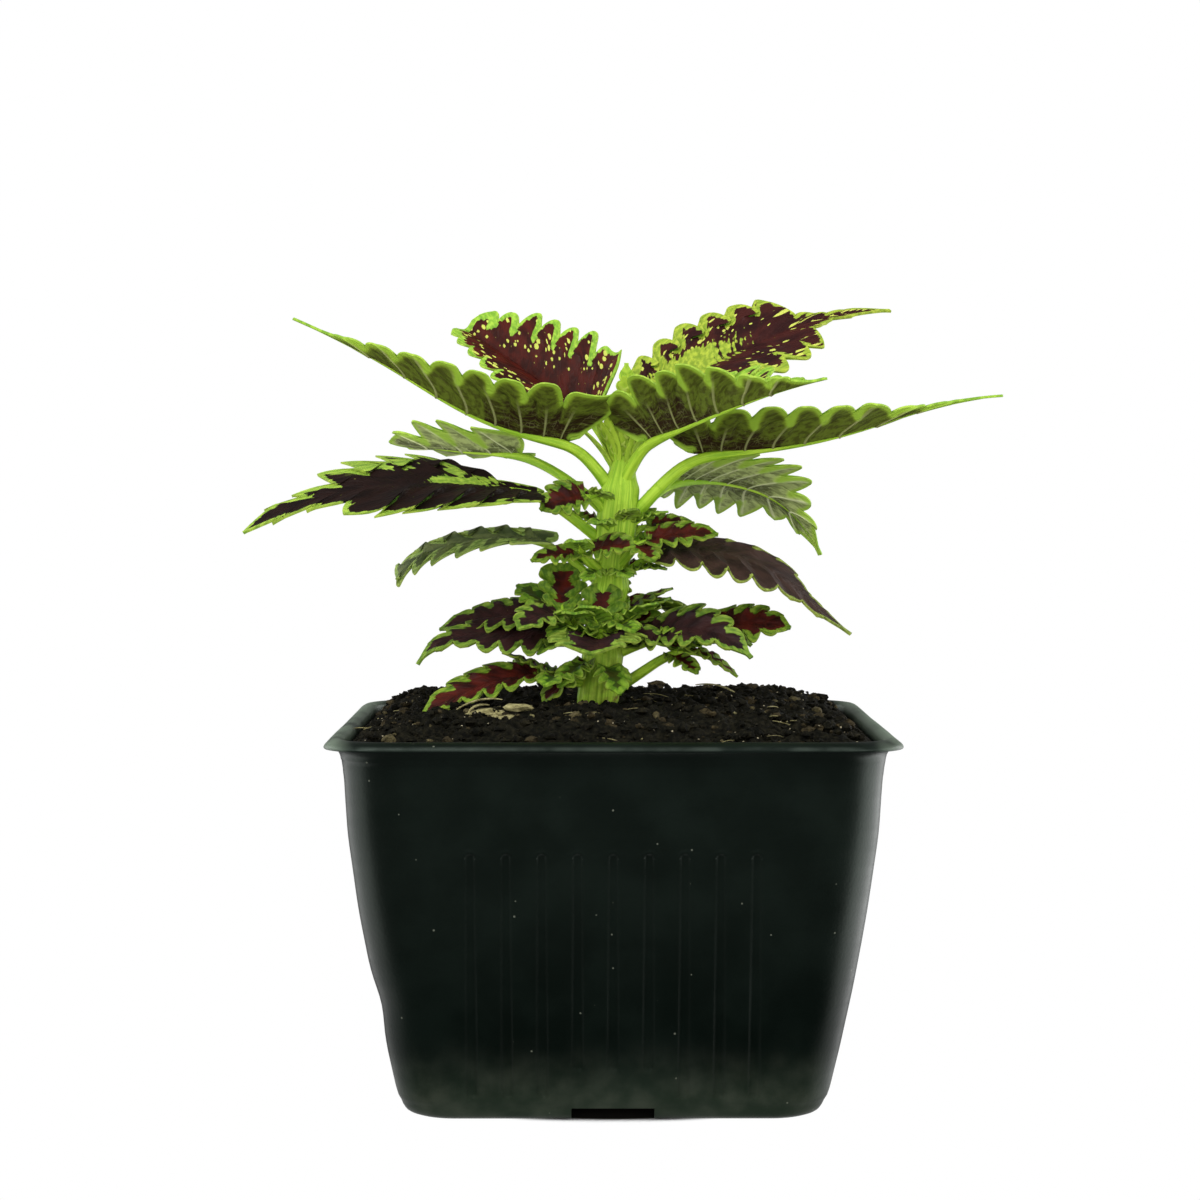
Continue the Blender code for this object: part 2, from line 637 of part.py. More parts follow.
def stem_ring(height, grow=0.0):
    """A ring of the main stem: a square with soft corners, turned an eighth so that an edge faces the front."""
    centre = stem_centre(height)
    half = stem_half(height) + grow
    ring = []
    for point in range(STEM_POINTS):
        angle = 2 * math.pi * (point + 0.5) / STEM_POINTS
        cosine, sine = abs(math.cos(angle)), abs(math.sin(angle))
        reach = half / (cosine**STEM_SQUARENESS + sine**STEM_SQUARENESS) ** (1 / STEM_SQUARENESS)
        ring.append((centre.x + reach * math.cos(angle), centre.y + reach * math.sin(angle), height))
    return ring


def stem_solid(name, material, grow=0.0):
    """The main stem, or the space round it that other pieces keep clear of."""
    heights = [height for height, _ in STEM_RADII]
    if grow:
        heights = [heights[0] - grow, *heights[1:-1], heights[-1] + grow]
    vertices = [point for height in heights for point in stem_ring(height, grow)]
    return mesh_object(name, vertices, loft_faces(len(heights), STEM_POINTS), material)


def soil_height(x, y, random):
    """Crumbly surface, highest round the stem and low along the walls."""
    reach = max(abs(x), abs(y)) / (WALL_PROFILE[-1][1] - WALL)
    dome = SOIL_EDGE + (SOIL_CROWN - SOIL_EDGE) * (1 - reach**2)
    growth, least = SOIL_EDGE_CALM
    return dome + random.uniform(-SOIL_LUMP, SOIL_LUMP) * min(1.0, growth * (1 - reach) + least)


def build_soil(material):
    """Potting soil that fills the pot, with a plain hole for the foot of the stem."""
    random = np.random.default_rng(SOIL_SEED)
    heights = (SOIL_BOTTOM, *(row[0] for row in WALL_PROFILE[3:-1]), SOIL_EDGE - SOIL_LUMP)
    rings = []
    for height in heights:
        half, corner = wall_at(height)
        inset = WALL + GAP
        rings.append(rounded_square(half - inset, corner - inset, height, side_parts=SOIL_SIDE_PARTS))
    edge = np.array(rings[-1])[:, :2]
    turns = np.arctan2(edge[:, 1], edge[:, 0])
    hole = SOIL_HOLE_REACH * np.stack([np.cos(turns), np.sin(turns)], 1)
    middle = np.array(stem_centre(SOIL_CROWN))[:2]
    for share in SOIL_RINGS:
        ring = middle + hole + (edge - middle - hole) * share
        rings.append([(x, y, soil_height(x, y, random)) for x, y in ring])
    for height in (SOIL_CROWN - SOIL_LUMP, STEM_RADII[0][0] - GAP):
        middle = np.array(stem_centre(height))[:2]
        rings.append([(*point, height) for point in middle + hole])
    vertices = [point for ring in rings for point in ring]
    return mesh_object("soil", vertices, loft_faces(len(rings), len(edge)), material)


def build_leaf(name, leaf, material, clearance):
    """A large leaf, cut clear of the main stem."""
    vertices, faces = leaf_mesh(leaf, leaf_start(leaf), LARGE_REACH, LARGE_MARKS, LARGE_STALK_ROWS)
    thing = mesh_object(name, vertices, faces, material)
    boolean(thing, "DIFFERENCE", [copy_of(clearance)])
    return thing


def build_shoot(name, shoot, material, clearance):
    """A side shoot with its leaves, fused in one body and cut clear of the main stem."""
    spine = shoot_spine(shoot)
    at = np.linspace(0.0, shoot.length, SHOOT_RINGS)
    radii = shoot.thick * np.linspace(*SHOOT_TAPER, SHOOT_RINGS)
    points, sides, uppers = (spine.read(values, at) for values in (spine.points, spine.left, spine.upper))
    stem = mesh_object(name, *tube_mesh(points, sides, uppers, radii), material)
    pieces = []
    for leaf in shoot.leaves:
        start = shoot_leaf_start(shoot, leaf)
        vertices, faces = leaf_mesh(leaf, start, SMALL_REACH, SMALL_MARKS, SMALL_STALK_ROWS)
        pieces.append(mesh_object("leaf", vertices, faces, material))
    boolean(stem, "UNION", pieces)
    boolean(stem, "DIFFERENCE", [copy_of(clearance)])
    return stem


def copy_of(thing):
    """A copy that a Boolean can use up."""
    duplicate = bpy.data.objects.new(thing.name + "_copy", thing.data.copy())
    bpy.context.scene.collection.objects.link(duplicate)
    return duplicate


def main():
    for thing in list(bpy.data.objects):
        bpy.data.objects.remove(thing)
    build_pot(principled("pot_plastic", (0.006, 0.010, 0.009), 0.38))
    build_soil(principled("potting_soil", (0.018, 0.013, 0.009), 0.95))
    stem_material = principled("green_stem", (0.19, 0.38, 0.06), 0.45)
    stem_solid("main_stem", stem_material)
    clearance = stem_solid("stem_clearance", stem_material, GAP)
    leaf_material = principled("coleus_leaf", (0.10, 0.16, 0.03), 0.55)
    for name, leaf in LARGE_LEAVES.items():
        build_leaf(name, leaf, leaf_material, clearance)
    shoot_material = principled("young_coleus", (0.16, 0.30, 0.05), 0.55)
    for name, shoot in SHOOTS.items():
        build_shoot(name, shoot, shoot_material, clearance)
    remove_object(clearance)


if __name__ == "__main__":
    main()
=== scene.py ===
"""Looks of the potted coleus: fine leaves, stem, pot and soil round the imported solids.

Metres, +Z up. The origin is the middle of the pot's base. -Y is the front.
The leaves, shoots, stem, pot and soil repeat the form of their solids with finer surfaces.
"""

import math
from dataclasses import dataclass, replace

import bmesh
import bpy
import numpy as np
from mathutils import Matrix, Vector, noise


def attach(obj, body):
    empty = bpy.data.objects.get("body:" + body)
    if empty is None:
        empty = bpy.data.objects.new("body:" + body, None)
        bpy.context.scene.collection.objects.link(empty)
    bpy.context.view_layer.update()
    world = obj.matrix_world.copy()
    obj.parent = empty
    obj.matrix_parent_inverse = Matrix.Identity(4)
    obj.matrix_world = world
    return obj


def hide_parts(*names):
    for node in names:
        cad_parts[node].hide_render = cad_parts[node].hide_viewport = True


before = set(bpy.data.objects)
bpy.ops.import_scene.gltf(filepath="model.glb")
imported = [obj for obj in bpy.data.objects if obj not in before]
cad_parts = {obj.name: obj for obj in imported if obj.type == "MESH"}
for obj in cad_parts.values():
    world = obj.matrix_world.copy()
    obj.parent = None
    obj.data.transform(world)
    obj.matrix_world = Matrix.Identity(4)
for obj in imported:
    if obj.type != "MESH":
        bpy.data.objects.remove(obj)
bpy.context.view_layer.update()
MM = 0.001

# The pot. Half widths are from the pot's axis to the outer face of a side.
WALL = 0.0013
FLOOR_TOP = 0.0043
NOTCH_HEIGHT = 0.0027
NOTCH_WIDTH = 0.0175
NOTCH_INNER = 0.0270
WALL_PROFILE = (  # height, half width, corner radius
    (0.0000, 0.0425, 0.0090),
    (0.0009, 0.0446, 0.0098),
    (0.0036, 0.0459, 0.0105),
    (0.0122, 0.0477, 0.0110),
    (0.0274, 0.0508, 0.0115),
    (0.0446, 0.0537, 0.0118),
    (0.0608, 0.0558, 0.0120),
    (0.0745, 0.0566, 0.0120),
    (0.0786, 0.0574, 0.0118),
)
RIM_PROFILE = (  # from under the flange, round its edge, to the mouth
    (0.0796, 0.0586, 0.0118),
    (0.0789, 0.0603, 0.0118),
    (0.0799, 0.0604, 0.0118),
    (0.0813, 0.0582, 0.0112),
    (0.0807, 0.0565, 0.0108),
)
GROOVES = 9
GROOVE_PITCH = 0.0074
GROOVE_TOP = 0.0578
GROOVE_FOOT = 0.0050
NOTCHED_GROOVE_FOOT = 0.0110
GROOVE_WIDTH = (0.0026, 0.0019)  # at the foot and at the top
GROOVE_DEPTH = (0.0008, 0.0004)
DRAIN_HOLE = 0.0042
DRAIN_REACH = 0.0345
DRAIN_SIDES = 40
GROOVE_STATIONS = (-1.6, -1.15, -0.8, -0.4, 0.0, 0.4, 0.8, 1.15, 1.6)  # millimetres from a groove's middle
EDGE_PARTS = 5  # between the last groove and the corner
CORNER_PARTS = 12
RIM_START = (0.0765, 0.0780)  # heights where the wall turns into the rim
MOUTH_PROFILE = ((0.0790, 0.0562, 0.0106), (0.0775, 0.0560, 0.0106))  # inside the mouth: as RIM_PROFILE
INNER_TOP = 0.0745
INNER_RINGS = 12
RINGS_UNDER_RIM = ((0.0775, 0.00010), (0.0735, 0.00007))  # height, how far they stand out
RING_TALL = 0.0004
GROOVE_LIP = 0.00016  # height of the low lip round a groove's top
WALL_WAVES = ((30, 0.00028), (95, 0.00007))  # waves in a metre of wall, and their depth
WALL_RUNS = (  # height from, height to, number of rings
    (0.0, 0.0009, 3),
    (0.0009, 0.0140, 27),
    (0.0140, 0.0548, 22),
    (0.0548, 0.0596, 18),
    (0.0596, 0.0765, 20),
)
POT_SIDES = ((0, -1), (1, 0), (0, 1), (-1, 0))  # outward directions: front, right, back, left
DENTS = (  # side, place across it, height, half width, half height, depth
    (0, 0.0365, 0.0262, 0.0055, 0.0042, 0.0006),
    (0, -0.0330, 0.0480, 0.0160, 0.0120, 0.0003),
    (3, 0.0360, 0.0245, 0.0150, 0.0060, 0.0010),
    (3, -0.0200, 0.0520, 0.0150, 0.0120, 0.0005),
    (1, 0.0080, 0.0420, 0.0170, 0.0110, 0.0006),
    (2, 0.0100, 0.0360, 0.0200, 0.0100, 0.0006),
)

# The soil.
GAP = 0.0003
SOIL_BOTTOM = 0.0046
SOIL_EDGE = 0.0792
SOIL_CROWN = 0.0856
SOIL_HEAP = 0.0009  # how much higher the soil lies towards the back
SOIL_LEVEL = 0.0775  # the wall's width here gives the soil's
SOIL_REACH = 0.0558  # half width of the soil
STEM_CLEAR = 0.0062  # crumbs and fibres keep this far from the stem's middle
SOIL_SKIRT = 0.0750  # height where the soil's sides follow the wall again
SOIL_LUMPS = (0.0010, 0.0017, 0.0003)  # heights of broad lumps, of crumbs and of grit
SOIL_SCALES = (95, 330, 1100)  # how many of each lie in a metre
SOIL_GRID = 190
CRUMBS = 2250
CRUMB_SIZE = (0.00032, 0.0010)  # half length of the smallest, and how much the largest adds
CRUMB_TINTS = ((0.0, 0.15, 0.35, 0.6, 0.9), (0.54, 0.27, 0.13, 0.05, 0.01))  # tints, and how often each comes
FIBRES = 60
BARK = (  # place, half length, half breadth, half height, turn, tint
    (-0.0262, -0.0300, 0.0046, 0.0020, 0.0010, 0.3, 0.98),
    (-0.0205, -0.0290, 0.0032, 0.0015, 0.0009, 2.7, 0.92),
    (-0.0225, -0.0330, 0.0026, 0.0012, 0.0008, 0.8, 0.85),
    (-0.0300, -0.0235, 0.0024, 0.0011, 0.0006, 1.2, 0.60),
    (-0.0035, -0.0300, 0.0024, 0.0012, 0.0007, 0.2, 0.70),
    (0.0210, -0.0350, 0.0020, 0.0009, 0.0006, 1.9, 0.45),
    (0.0330, 0.0290, 0.0024, 0.0011, 0.0008, 0.9, 0.40),
    (-0.0380, 0.0180, 0.0022, 0.0012, 0.0007, 2.8, 0.45),
    (0.0110, 0.0400, 0.0026, 0.0012, 0.0008, 0.4, 0.50),
)
LONG_FIBRES = (  # place, heading, length, radius
    (-0.0310, -0.0310, 80.0, 0.0080, 0.00028),
    (-0.0340, -0.0260, 20.0, 0.0110, 0.00024),
    (0.0300, 0.0200, 140.0, 0.0120, 0.00022),
    (-0.0100, 0.0350, 200.0, 0.0100, 0.00022),
)

# The main stem.
STEM_FOOT = Vector((-0.0030, 0.0, 0.0860))
STEM_LEAN = 0.105
STEM_SQUARENESS = 3.2
STEM_RADII = (  # height, half the thickness
    (0.0650, 0.0030),
    (0.0780, 0.0042),
    (0.0860, 0.0047),
    (0.0940, 0.0046),
    (0.1000, 0.0039),
    (0.1060, 0.0038),
    (0.1110, 0.0042),
    (0.1150, 0.0037),
    (0.1200, 0.0044),
    (0.1270, 0.0046),
    (0.1320, 0.0043),
    (0.1370, 0.0029),
    (0.1420, 0.0016),
    (0.1470, 0.0010),
)
STEM_NODES = (0.0955, 0.1105, 0.1205, 0.1330)  # heights of the lines that join a pair of leaves
STEM_RING = (0.00022, 0.0011)  # how far such a line stands out, and half its height
STEM_CORNERS = 64
STEM_ROWS = 150

# Blades.
TIP_WIDTH = 0.0005
FLAT_WIDTH = 0.0030
VEIN_SWEEP = 1.50
SPINE_POINTS = 97
TOOTHED_FROM = 0.05
TIP_TAPER = (0.55, 0.17)
BODY_REACH = 0.86
FOLD_FADE = 0.35
STALK_TAPER = (1.00, 0.80)
SHOOT_TAPER = (1.15, 0.80)
YOUNG_LIFT = 50.0
YOUNG_BEND = (0.5, 0.2)
YOUNG_STALK = 0.18
YOUNG_WIDTH = 0.44
LOW_EDGE = 0.8
SCALLOP_FROM = 0.50  # share of the half width where the rows start to follow the teeth
TOOTH_FLANK = 1.25  # how steeply a tooth's flanks drop into the notches
BASE_LOBE = 0.045  # share of the length where the lobes beside the petiole reach furthest back
VEIN_CURVE = 1.45  # side veins bend towards the tip as they run out
BUNCH = 0.45  # how closely the rows crowd into the notches
THICKNESS = (0.00052, 0.00034)  # of a blade, at the midrib and at the margin
VALLEY = (0.00016, 0.50)  # a side vein above: its depth, and its half width in millimetres
RIDGE = (0.00026, 0.36)  # a side vein below: its height, and its half width in millimetres
STALK_CHANNEL = 0.12  # depth of the channel along a petiole, as a share of its radius
STALK_CALM = 14  # passes that smooth the bend from the petiole to the midrib
STALK_SKIP = 0.0018  # a large leaf's petiole starts this far from the stem's middle
PATTERN_STEP = 40.0  # sets the patterns of two leaves apart

# The photographer's place and the studio. Angles are in degrees.
CAMERA_PLACE = (-0.0045, -0.647, 0.1348)
CAMERA_PITCH = 2.382  # down
CAMERA_YAW = 0.169  # to the right
CAMERA_LENS = 86.55  # millimetres, with a sensor of this width
SENSOR_WIDTH = 36.0
CLIP_START = 0.01
CLIP_END = 50.0
WHITE = (1.0, 1.0, 1.0, 1.0)
WORLD_STRENGTH = 0.15
FLOOR_LEVEL = -0.0002
NEAR_FLOOR = 0.062  # radius of the part of the floor that the pot's sheen picks up
PAINTED_SHADOW_UNDER_POT = (0.0436, 0.0415)  # distances from the pot's axis between which a painted shadow darkens the floor under the pot
FLOOR_GLOW = (0.0434, 0.0480)  # distances between which it turns into glow
STUDIO_REACH = 3.0
WALL_TALL = 4.0
ROUND_PARTS = 96
LIT_PLACE = Vector((0.0, 0.0, 0.1))
PANEL_RUN = (-0.25, 1.40)  # the front and back ends of the two bright panels
PANEL_HEIGHTS = (-0.9, 0.8)
PANELS = (  # name, place across, strength
    ("left_glow", -0.9, 1.6),
    ("right_glow", 0.9, 2.8),
)
LIGHTS = (  # name, place, breadth and height, power, whether glossy surfaces show it
    ("top_light", (0.0, -0.2, 1.5), (1.8, 1.8), 24.0, False),
    ("glint_light", (-0.4, -0.6, 1.4), (0.5, 0.5), 3.0, True),
    ("front_left_light", (-1.1, -1.2, 1.2), (0.9, 0.9), 10.0, True),
    ("front_right_light", (1.1, -1.2, 1.2), (0.9, 0.9), 8.0, True),
    ("front_light", (0.0, -1.6, 0.15), (2.0, 0.8), 18.0, False),
    ("left_strip", (-1.2, 0.1, 0.35), (0.5, 0.9), 6.0, False),
    ("right_strip", (1.2, 0.1, 0.35), (0.5, 0.9), 6.0, False),
)


@dataclass
class Look:
    """Colours of a leaf as sRGB out of 255, and widths of its markings in millimetres."""

    rim: float = 1.5  # green rim on the crowns of the teeth
    rim_low: float = 0.25  # share of that width in the notches
    rim_colour: tuple = (148, 184, 58)
    rim_deep: tuple = (104, 148, 40)
    heart: tuple = (66, 17, 19)
    heart_dark: tuple = (38, 10, 16)
    streak: float = 0.8  # how far the heart's edge runs out and in along the veins
    fleck: float = 0.5  # cream flecks, 0 none, 1 many
    fleck_reach: float = 6.0  # how far in from the margin they lie
    fleck_colour: tuple = (176, 184, 78)
    under_rim: tuple = (118, 170, 48)
    under_green: tuple = (72, 112, 28)
    under_heart: tuple = (42, 28, 16)
    under_reach: float = 0.55  # share of the half width that the dark heart covers below
    dark_run: tuple = (90.0, 60.0)  # distance from the petiole where the dark heart below has ended, and ends
    vein: tuple = (160, 166, 112)
    vein_reach: float = 0.60  # share of the half width where the side veins have faded out below
    net: float = 0.55  # how strongly the fine veins show below


@dataclass
class Leaf:
    """A blade and its petiole. Angles are in degrees: azimuth 0 is +X, 90 is +Y, elevation is above level."""

    azimuth: float
    length: float
    half_width: float
    petiole: float
    petiole_rise: tuple  # elevations along the petiole
    rise: tuple  # elevations along the blade
    foot: float = 0.0  # height on the stem, or share of the shoot's length
    turn: float = 0.0  # how far the azimuth turns along the blade
    roll: float = 0.0  # about the midrib
    fold: tuple = (20.0, 20.0)  # how far each half is folded up: left, right
    droop: float = 14.0  # how far each half arches down again towards its margin
    teeth: int = 8  # on each side
    notch: float = 0.42  # depth of the notches, as a share of the half width
    thick: float = 0.0012  # petiole radius
    wave: float = 0.0008  # height of the margin's ripple
    widest: float = 0.28  # share of the length where the blade is widest
    slim: float = 0.40  # how much narrower the tip is
    blunt: float = 2.3  # 1 is a pointed tooth, 2 a round one, 3 a squarish one
    back: float = 0.0030  # how far the base's lobes reach back beside the petiole
    crown: float = 0.5  # where a tooth's crown lies between its notches
    lean: float = 0.20  # how far the teeth lean towards the tip, as a share of their spacing
    calm: float = 0.0  # how much lower the teeth on the left side are
    full: float = 0.5  # how quickly the blade widens from its base: less is quicker
    toothed_to: float = 0.86  # share of the length where the last tooth ends
    right_run: tuple = ((0.0, 1.0), (1.0, 1.0))  # share of the length, and the right half's share of its width
    right_sweep: float = 0.0  # how far the right half slants towards the tip, as a share of its width
    pillow: float = 0.0008  # how far the blade swells between its folds
    look: str = "young"
    patches: tuple = ()  # lime patches: share, place across (-1 to 1), half length, half breadth
    rim_run: tuple = ((0.0, 1.0), (1.0, 1.0))  # share of the length, and the rim's width against its look's


@dataclass
class Shoot:
    """A side shoot: a small stem with leaves."""

    azimuth: float
    length: float
    rise: tuple
    foot: float
    leaves: tuple
    turn: float = 0.0
    thick: float = 0.0013


YOUNG = Look(
    rim=1.3, rim_low=0.35, heart=(74, 24, 17), heart_dark=(38, 14, 12), fleck=0.0, streak=1.0,
    rim_colour=(118, 144, 42), rim_deep=(72, 104, 26), under_rim=(116, 154, 42), under_green=(94, 124, 36),
    under_heart=(74, 84, 30), under_reach=0.3, vein=(144, 164, 76),
)
LOOKS = {
    "flecked": Look(
        rim_low=0.30, fleck=0.90, fleck_reach=8.0, streak=0.9, heart=(70, 20, 11), heart_dark=(44, 14, 9),
        under_rim=(150, 172, 74), under_green=(140, 160, 76), under_heart=(110, 124, 56), under_reach=0.25,
        vein=(190, 196, 128),
    ),
    "mosaic": Look(
        rim=2.0, rim_low=0.40, fleck=0.60, fleck_reach=7.0, streak=1.6, rim_colour=(154, 170, 52),
        rim_deep=(112, 136, 34), heart=(58, 22, 18), heart_dark=(38, 14, 14), under_heart=(84, 96, 40),
        under_reach=0.2,
    ),
    "lime_tip": Look(
        rim=1.7, fleck=0.3, under_reach=0.38, dark_run=(44.0, 20.0), under_rim=(134, 160, 44),
        under_green=(90, 104, 30), under_heart=(42, 27, 12), vein=(150, 154, 98),
    ),
    "dark": Look(
        rim=1.3, rim_low=0.1, heart=(29, 16, 13), heart_dark=(19, 11, 10), fleck=0.0, streak=1.0,
        rim_colour=(150, 176, 62), rim_deep=(106, 140, 44), under_heart=(40, 26, 30),
    ),
    "dusky": Look(
        rim=0.6, rim_low=0.7, heart=(56, 40, 34), heart_dark=(36, 26, 22), fleck=0.0, streak=0.5,
        rim_colour=(132, 148, 66), rim_deep=(88, 104, 42), under_heart=(74, 76, 42), under_reach=0.3,
        under_green=(96, 112, 48), under_rim=(128, 150, 62),
    ),
    "sage": Look(
        rim=1.6, heart=(70, 40, 30), under_rim=(176, 200, 96), under_green=(172, 186, 116),
        under_heart=(84, 90, 52), under_reach=0.14, vein=(212, 218, 168), vein_reach=1.0, net=0.9,
    ),
    "olive": Look(
        rim=1.1, rim_low=0.5, heart=(94, 104, 60), heart_dark=(62, 74, 42), fleck=0.0, streak=0.9,
        rim_colour=(150, 172, 90), rim_deep=(104, 130, 60), under_green=(120, 140, 76),
        under_rim=(146, 170, 84), under_heart=(76, 86, 48), under_reach=0.2, vein=(170, 184, 120),
    ),
    "young": YOUNG,
    "round": replace(
        YOUNG, rim=2.1, rim_low=0.85, heart=(84, 24, 16), heart_dark=(44, 15, 12), streak=1.2,
        rim_colour=(118, 146, 42), rim_deep=(70, 104, 26),
    ),
    "young_dark": replace(
        YOUNG, rim=1.25, rim_low=0.40, heart=(50, 28, 27), heart_dark=(30, 18, 19), rim_colour=(118, 144, 50),
        rim_deep=(74, 104, 30), under_rim=(106, 146, 40), under_green=(88, 116, 36), under_heart=(66, 62, 30),
        under_reach=0.35, vein=(138, 158, 80),
    ),
    "young_green": replace(
        YOUNG, rim=1.6, rim_low=0.6, heart=(64, 70, 24), heart_dark=(52, 82, 24), streak=1.2,
        rim_colour=(126, 160, 46), rim_deep=(78, 116, 28), under_rim=(112, 152, 38), under_green=(88, 124, 30),
        under_heart=(76, 108, 28), under_reach=0.2, vein=(138, 166, 64),
    ),
    "shoot_tip": replace(
        YOUNG, rim=2.4, rim_low=0.9, heart=(112, 128, 40), heart_dark=(104, 140, 36), streak=0.5,
        rim_colour=(160, 188, 56), rim_deep=(124, 160, 40), under_rim=(156, 186, 54),
        under_green=(136, 166, 44), under_heart=(118, 148, 38), under_reach=0.2, vein=(178, 196, 88),
    ),
}

LARGE_LEAVES = {
    "leaf_top_left": Leaf(
        198, 0.0682, 0.0185, 0.0180, (60, 38), (1, 20, 32, 27, 22), 0.1300, fold=(54, 40), thick=0.0016,
        widest=0.20, slim=0.0, blunt=2.6, notch=0.46, wave=0.0012, back=0.0110, look="lime_tip",
    ),
    "leaf_top_left_back": Leaf(
        130, 0.0540, 0.0160, 0.0165, (66, 52), (20, 27, 22), 0.1345, fold=(17, 80), thick=0.0015, teeth=7,
        widest=0.36, full=0.30, slim=0.0, blunt=2.4, notch=0.44, lean=0.08, calm=0.3, back=0.0040,
        right_run=((0.0, 1.5), (0.15, 1.32), (0.40, 1.08), (0.70, 0.98), (0.90, 1.12), (1.0, 1.15)),
        right_sweep=0.26, toothed_to=0.97, pillow=0.0006, look="flecked",
        rim_run=((0.0, 0.8), (0.70, 1.0), (1.0, 2.4)),
    ),
    "leaf_top_right_back": Leaf(
        26, 0.0690, 0.0180, 0.0180, (78, 60), (33, 25, 18, 0), 0.1345, roll=28, fold=(19, 18), thick=0.0015,
        slim=0.78, widest=0.36, blunt=2.5, notch=0.48, lean=0.10, back=0.0005, pillow=0.0007, look="mosaic",
        patches=((0.26, 0.16, 0.26, 0.26),), rim_run=((0.0, 1.2), (0.45, 1.0), (0.60, 0.45), (1.0, 0.35)),
    ),
    "leaf_top_right_front": Leaf(
        306, 0.0590, 0.0180, 0.0160, (60, 36), (12, 14, 12, 8), 0.1315, turn=4, fold=(62, 60), thick=0.0015,
        teeth=7, blunt=2.6, notch=0.46, wave=0.0012, back=0.0110, look="lime_tip",
    ),
    "leaf_middle_right": Leaf(
        344, 0.0700, 0.0165, 0.0262, (50, 42), (-1, 9, 20, 3), 0.1220, fold=(24, 50), thick=0.0017,
        widest=0.23, slim=0.55, blunt=2.6, notch=0.52, back=0.0090, look="lime_tip",
    ),
    "leaf_middle_left_back": Leaf(
        148, 0.0375, 0.0124, 0.0300, (45, 19), (0, 5, 8), 0.1250, roll=30, fold=(20, 30), thick=0.0013,
        teeth=4, widest=0.42, notch=0.78, blunt=1.8, lean=0.42, slim=0.35, toothed_to=0.90, look="sage",
        right_run=((0.0, 0.6), (1.0, 0.6)),
    ),
    "leaf_middle_right_back": Leaf(
        38, 0.0510, 0.0165, 0.0220, (52, 22), (4, -15, -60), 0.1215, roll=-22, fold=(10, 14), thick=0.0013,
        teeth=7, notch=0.52, blunt=1.7, crown=0.56, lean=0.35, look="sage",
    ),
    "leaf_middle_left": Leaf(
        194, 0.0680, 0.0172, 0.0215, (40, 34), (10, -4, -32), 0.1190, roll=-14, fold=(2, 20), thick=0.0014,
        widest=0.42, slim=0.62, blunt=1.20, crown=0.60, notch=0.66, lean=0.66, calm=0.93, look="dark",
        right_run=((0.0, 0.25), (0.20, 0.30), (0.30, 1.20), (0.44, 1.25), (0.60, 1.10), (1.0, 1.1)),
        patches=((0.52, -0.80, 0.09, 0.30), (0.40, -0.05, 0.12, 0.10)),
    ),
    "leaf_lower_left": Leaf(
        172, 0.0372, 0.0112, 0.0180, (44, 34), (12, -5, -16, -52), 0.1095, fold=(16, 14), thick=0.0010,
        teeth=6, roll=-17, widest=0.60, slim=0.0, blunt=1.8, notch=0.74, lean=0.70, wave=0.0014,
        toothed_to=0.95, look="olive",
    ),
    "leaf_lower_right": Leaf(
        344, 0.0495, 0.0150, 0.0140, (44, 32), (8, -12, -42, -34), 0.1105, roll=12, fold=(4, 2), thick=0.0011,
        teeth=7, notch=0.30, look="dusky",
    ),
}


def small_leaf(azimuth, length, rise, foot, half_width=None, **more):
    """A leaf of a side shoot. The petiole grows with the blade."""
    options = {
        "teeth": 4, "thick": 0.0006, "slim": 0.05, "notch": 0.44, "droop": 10.0, "wave": 0.0012, "blunt": 2.5,
        "widest": 0.36, "back": 0.06 * length, "pillow": 0.0004, **more,
    }
    stalk = options.pop("petiole", YOUNG_STALK * length)
    lift = options.pop("petiole_rise", tuple(rise[0] + bend * (YOUNG_LIFT - rise[0]) for bend in YOUNG_BEND))
    return Leaf(azimuth, length, half_width or YOUNG_WIDTH * length, stalk, lift, rise, foot, **options)


def crown_leaf(azimuth, length, rise, foot, half_width):
    """A smooth narrow leaf that stands up round the growing tip."""
    smooth_edge = {"notch": 0.08, "wave": 0.0, "pillow": 0.0}
    return small_leaf(azimuth, length, rise, foot, half_width, petiole=0.0042, look="shoot_tip", **smooth_edge)


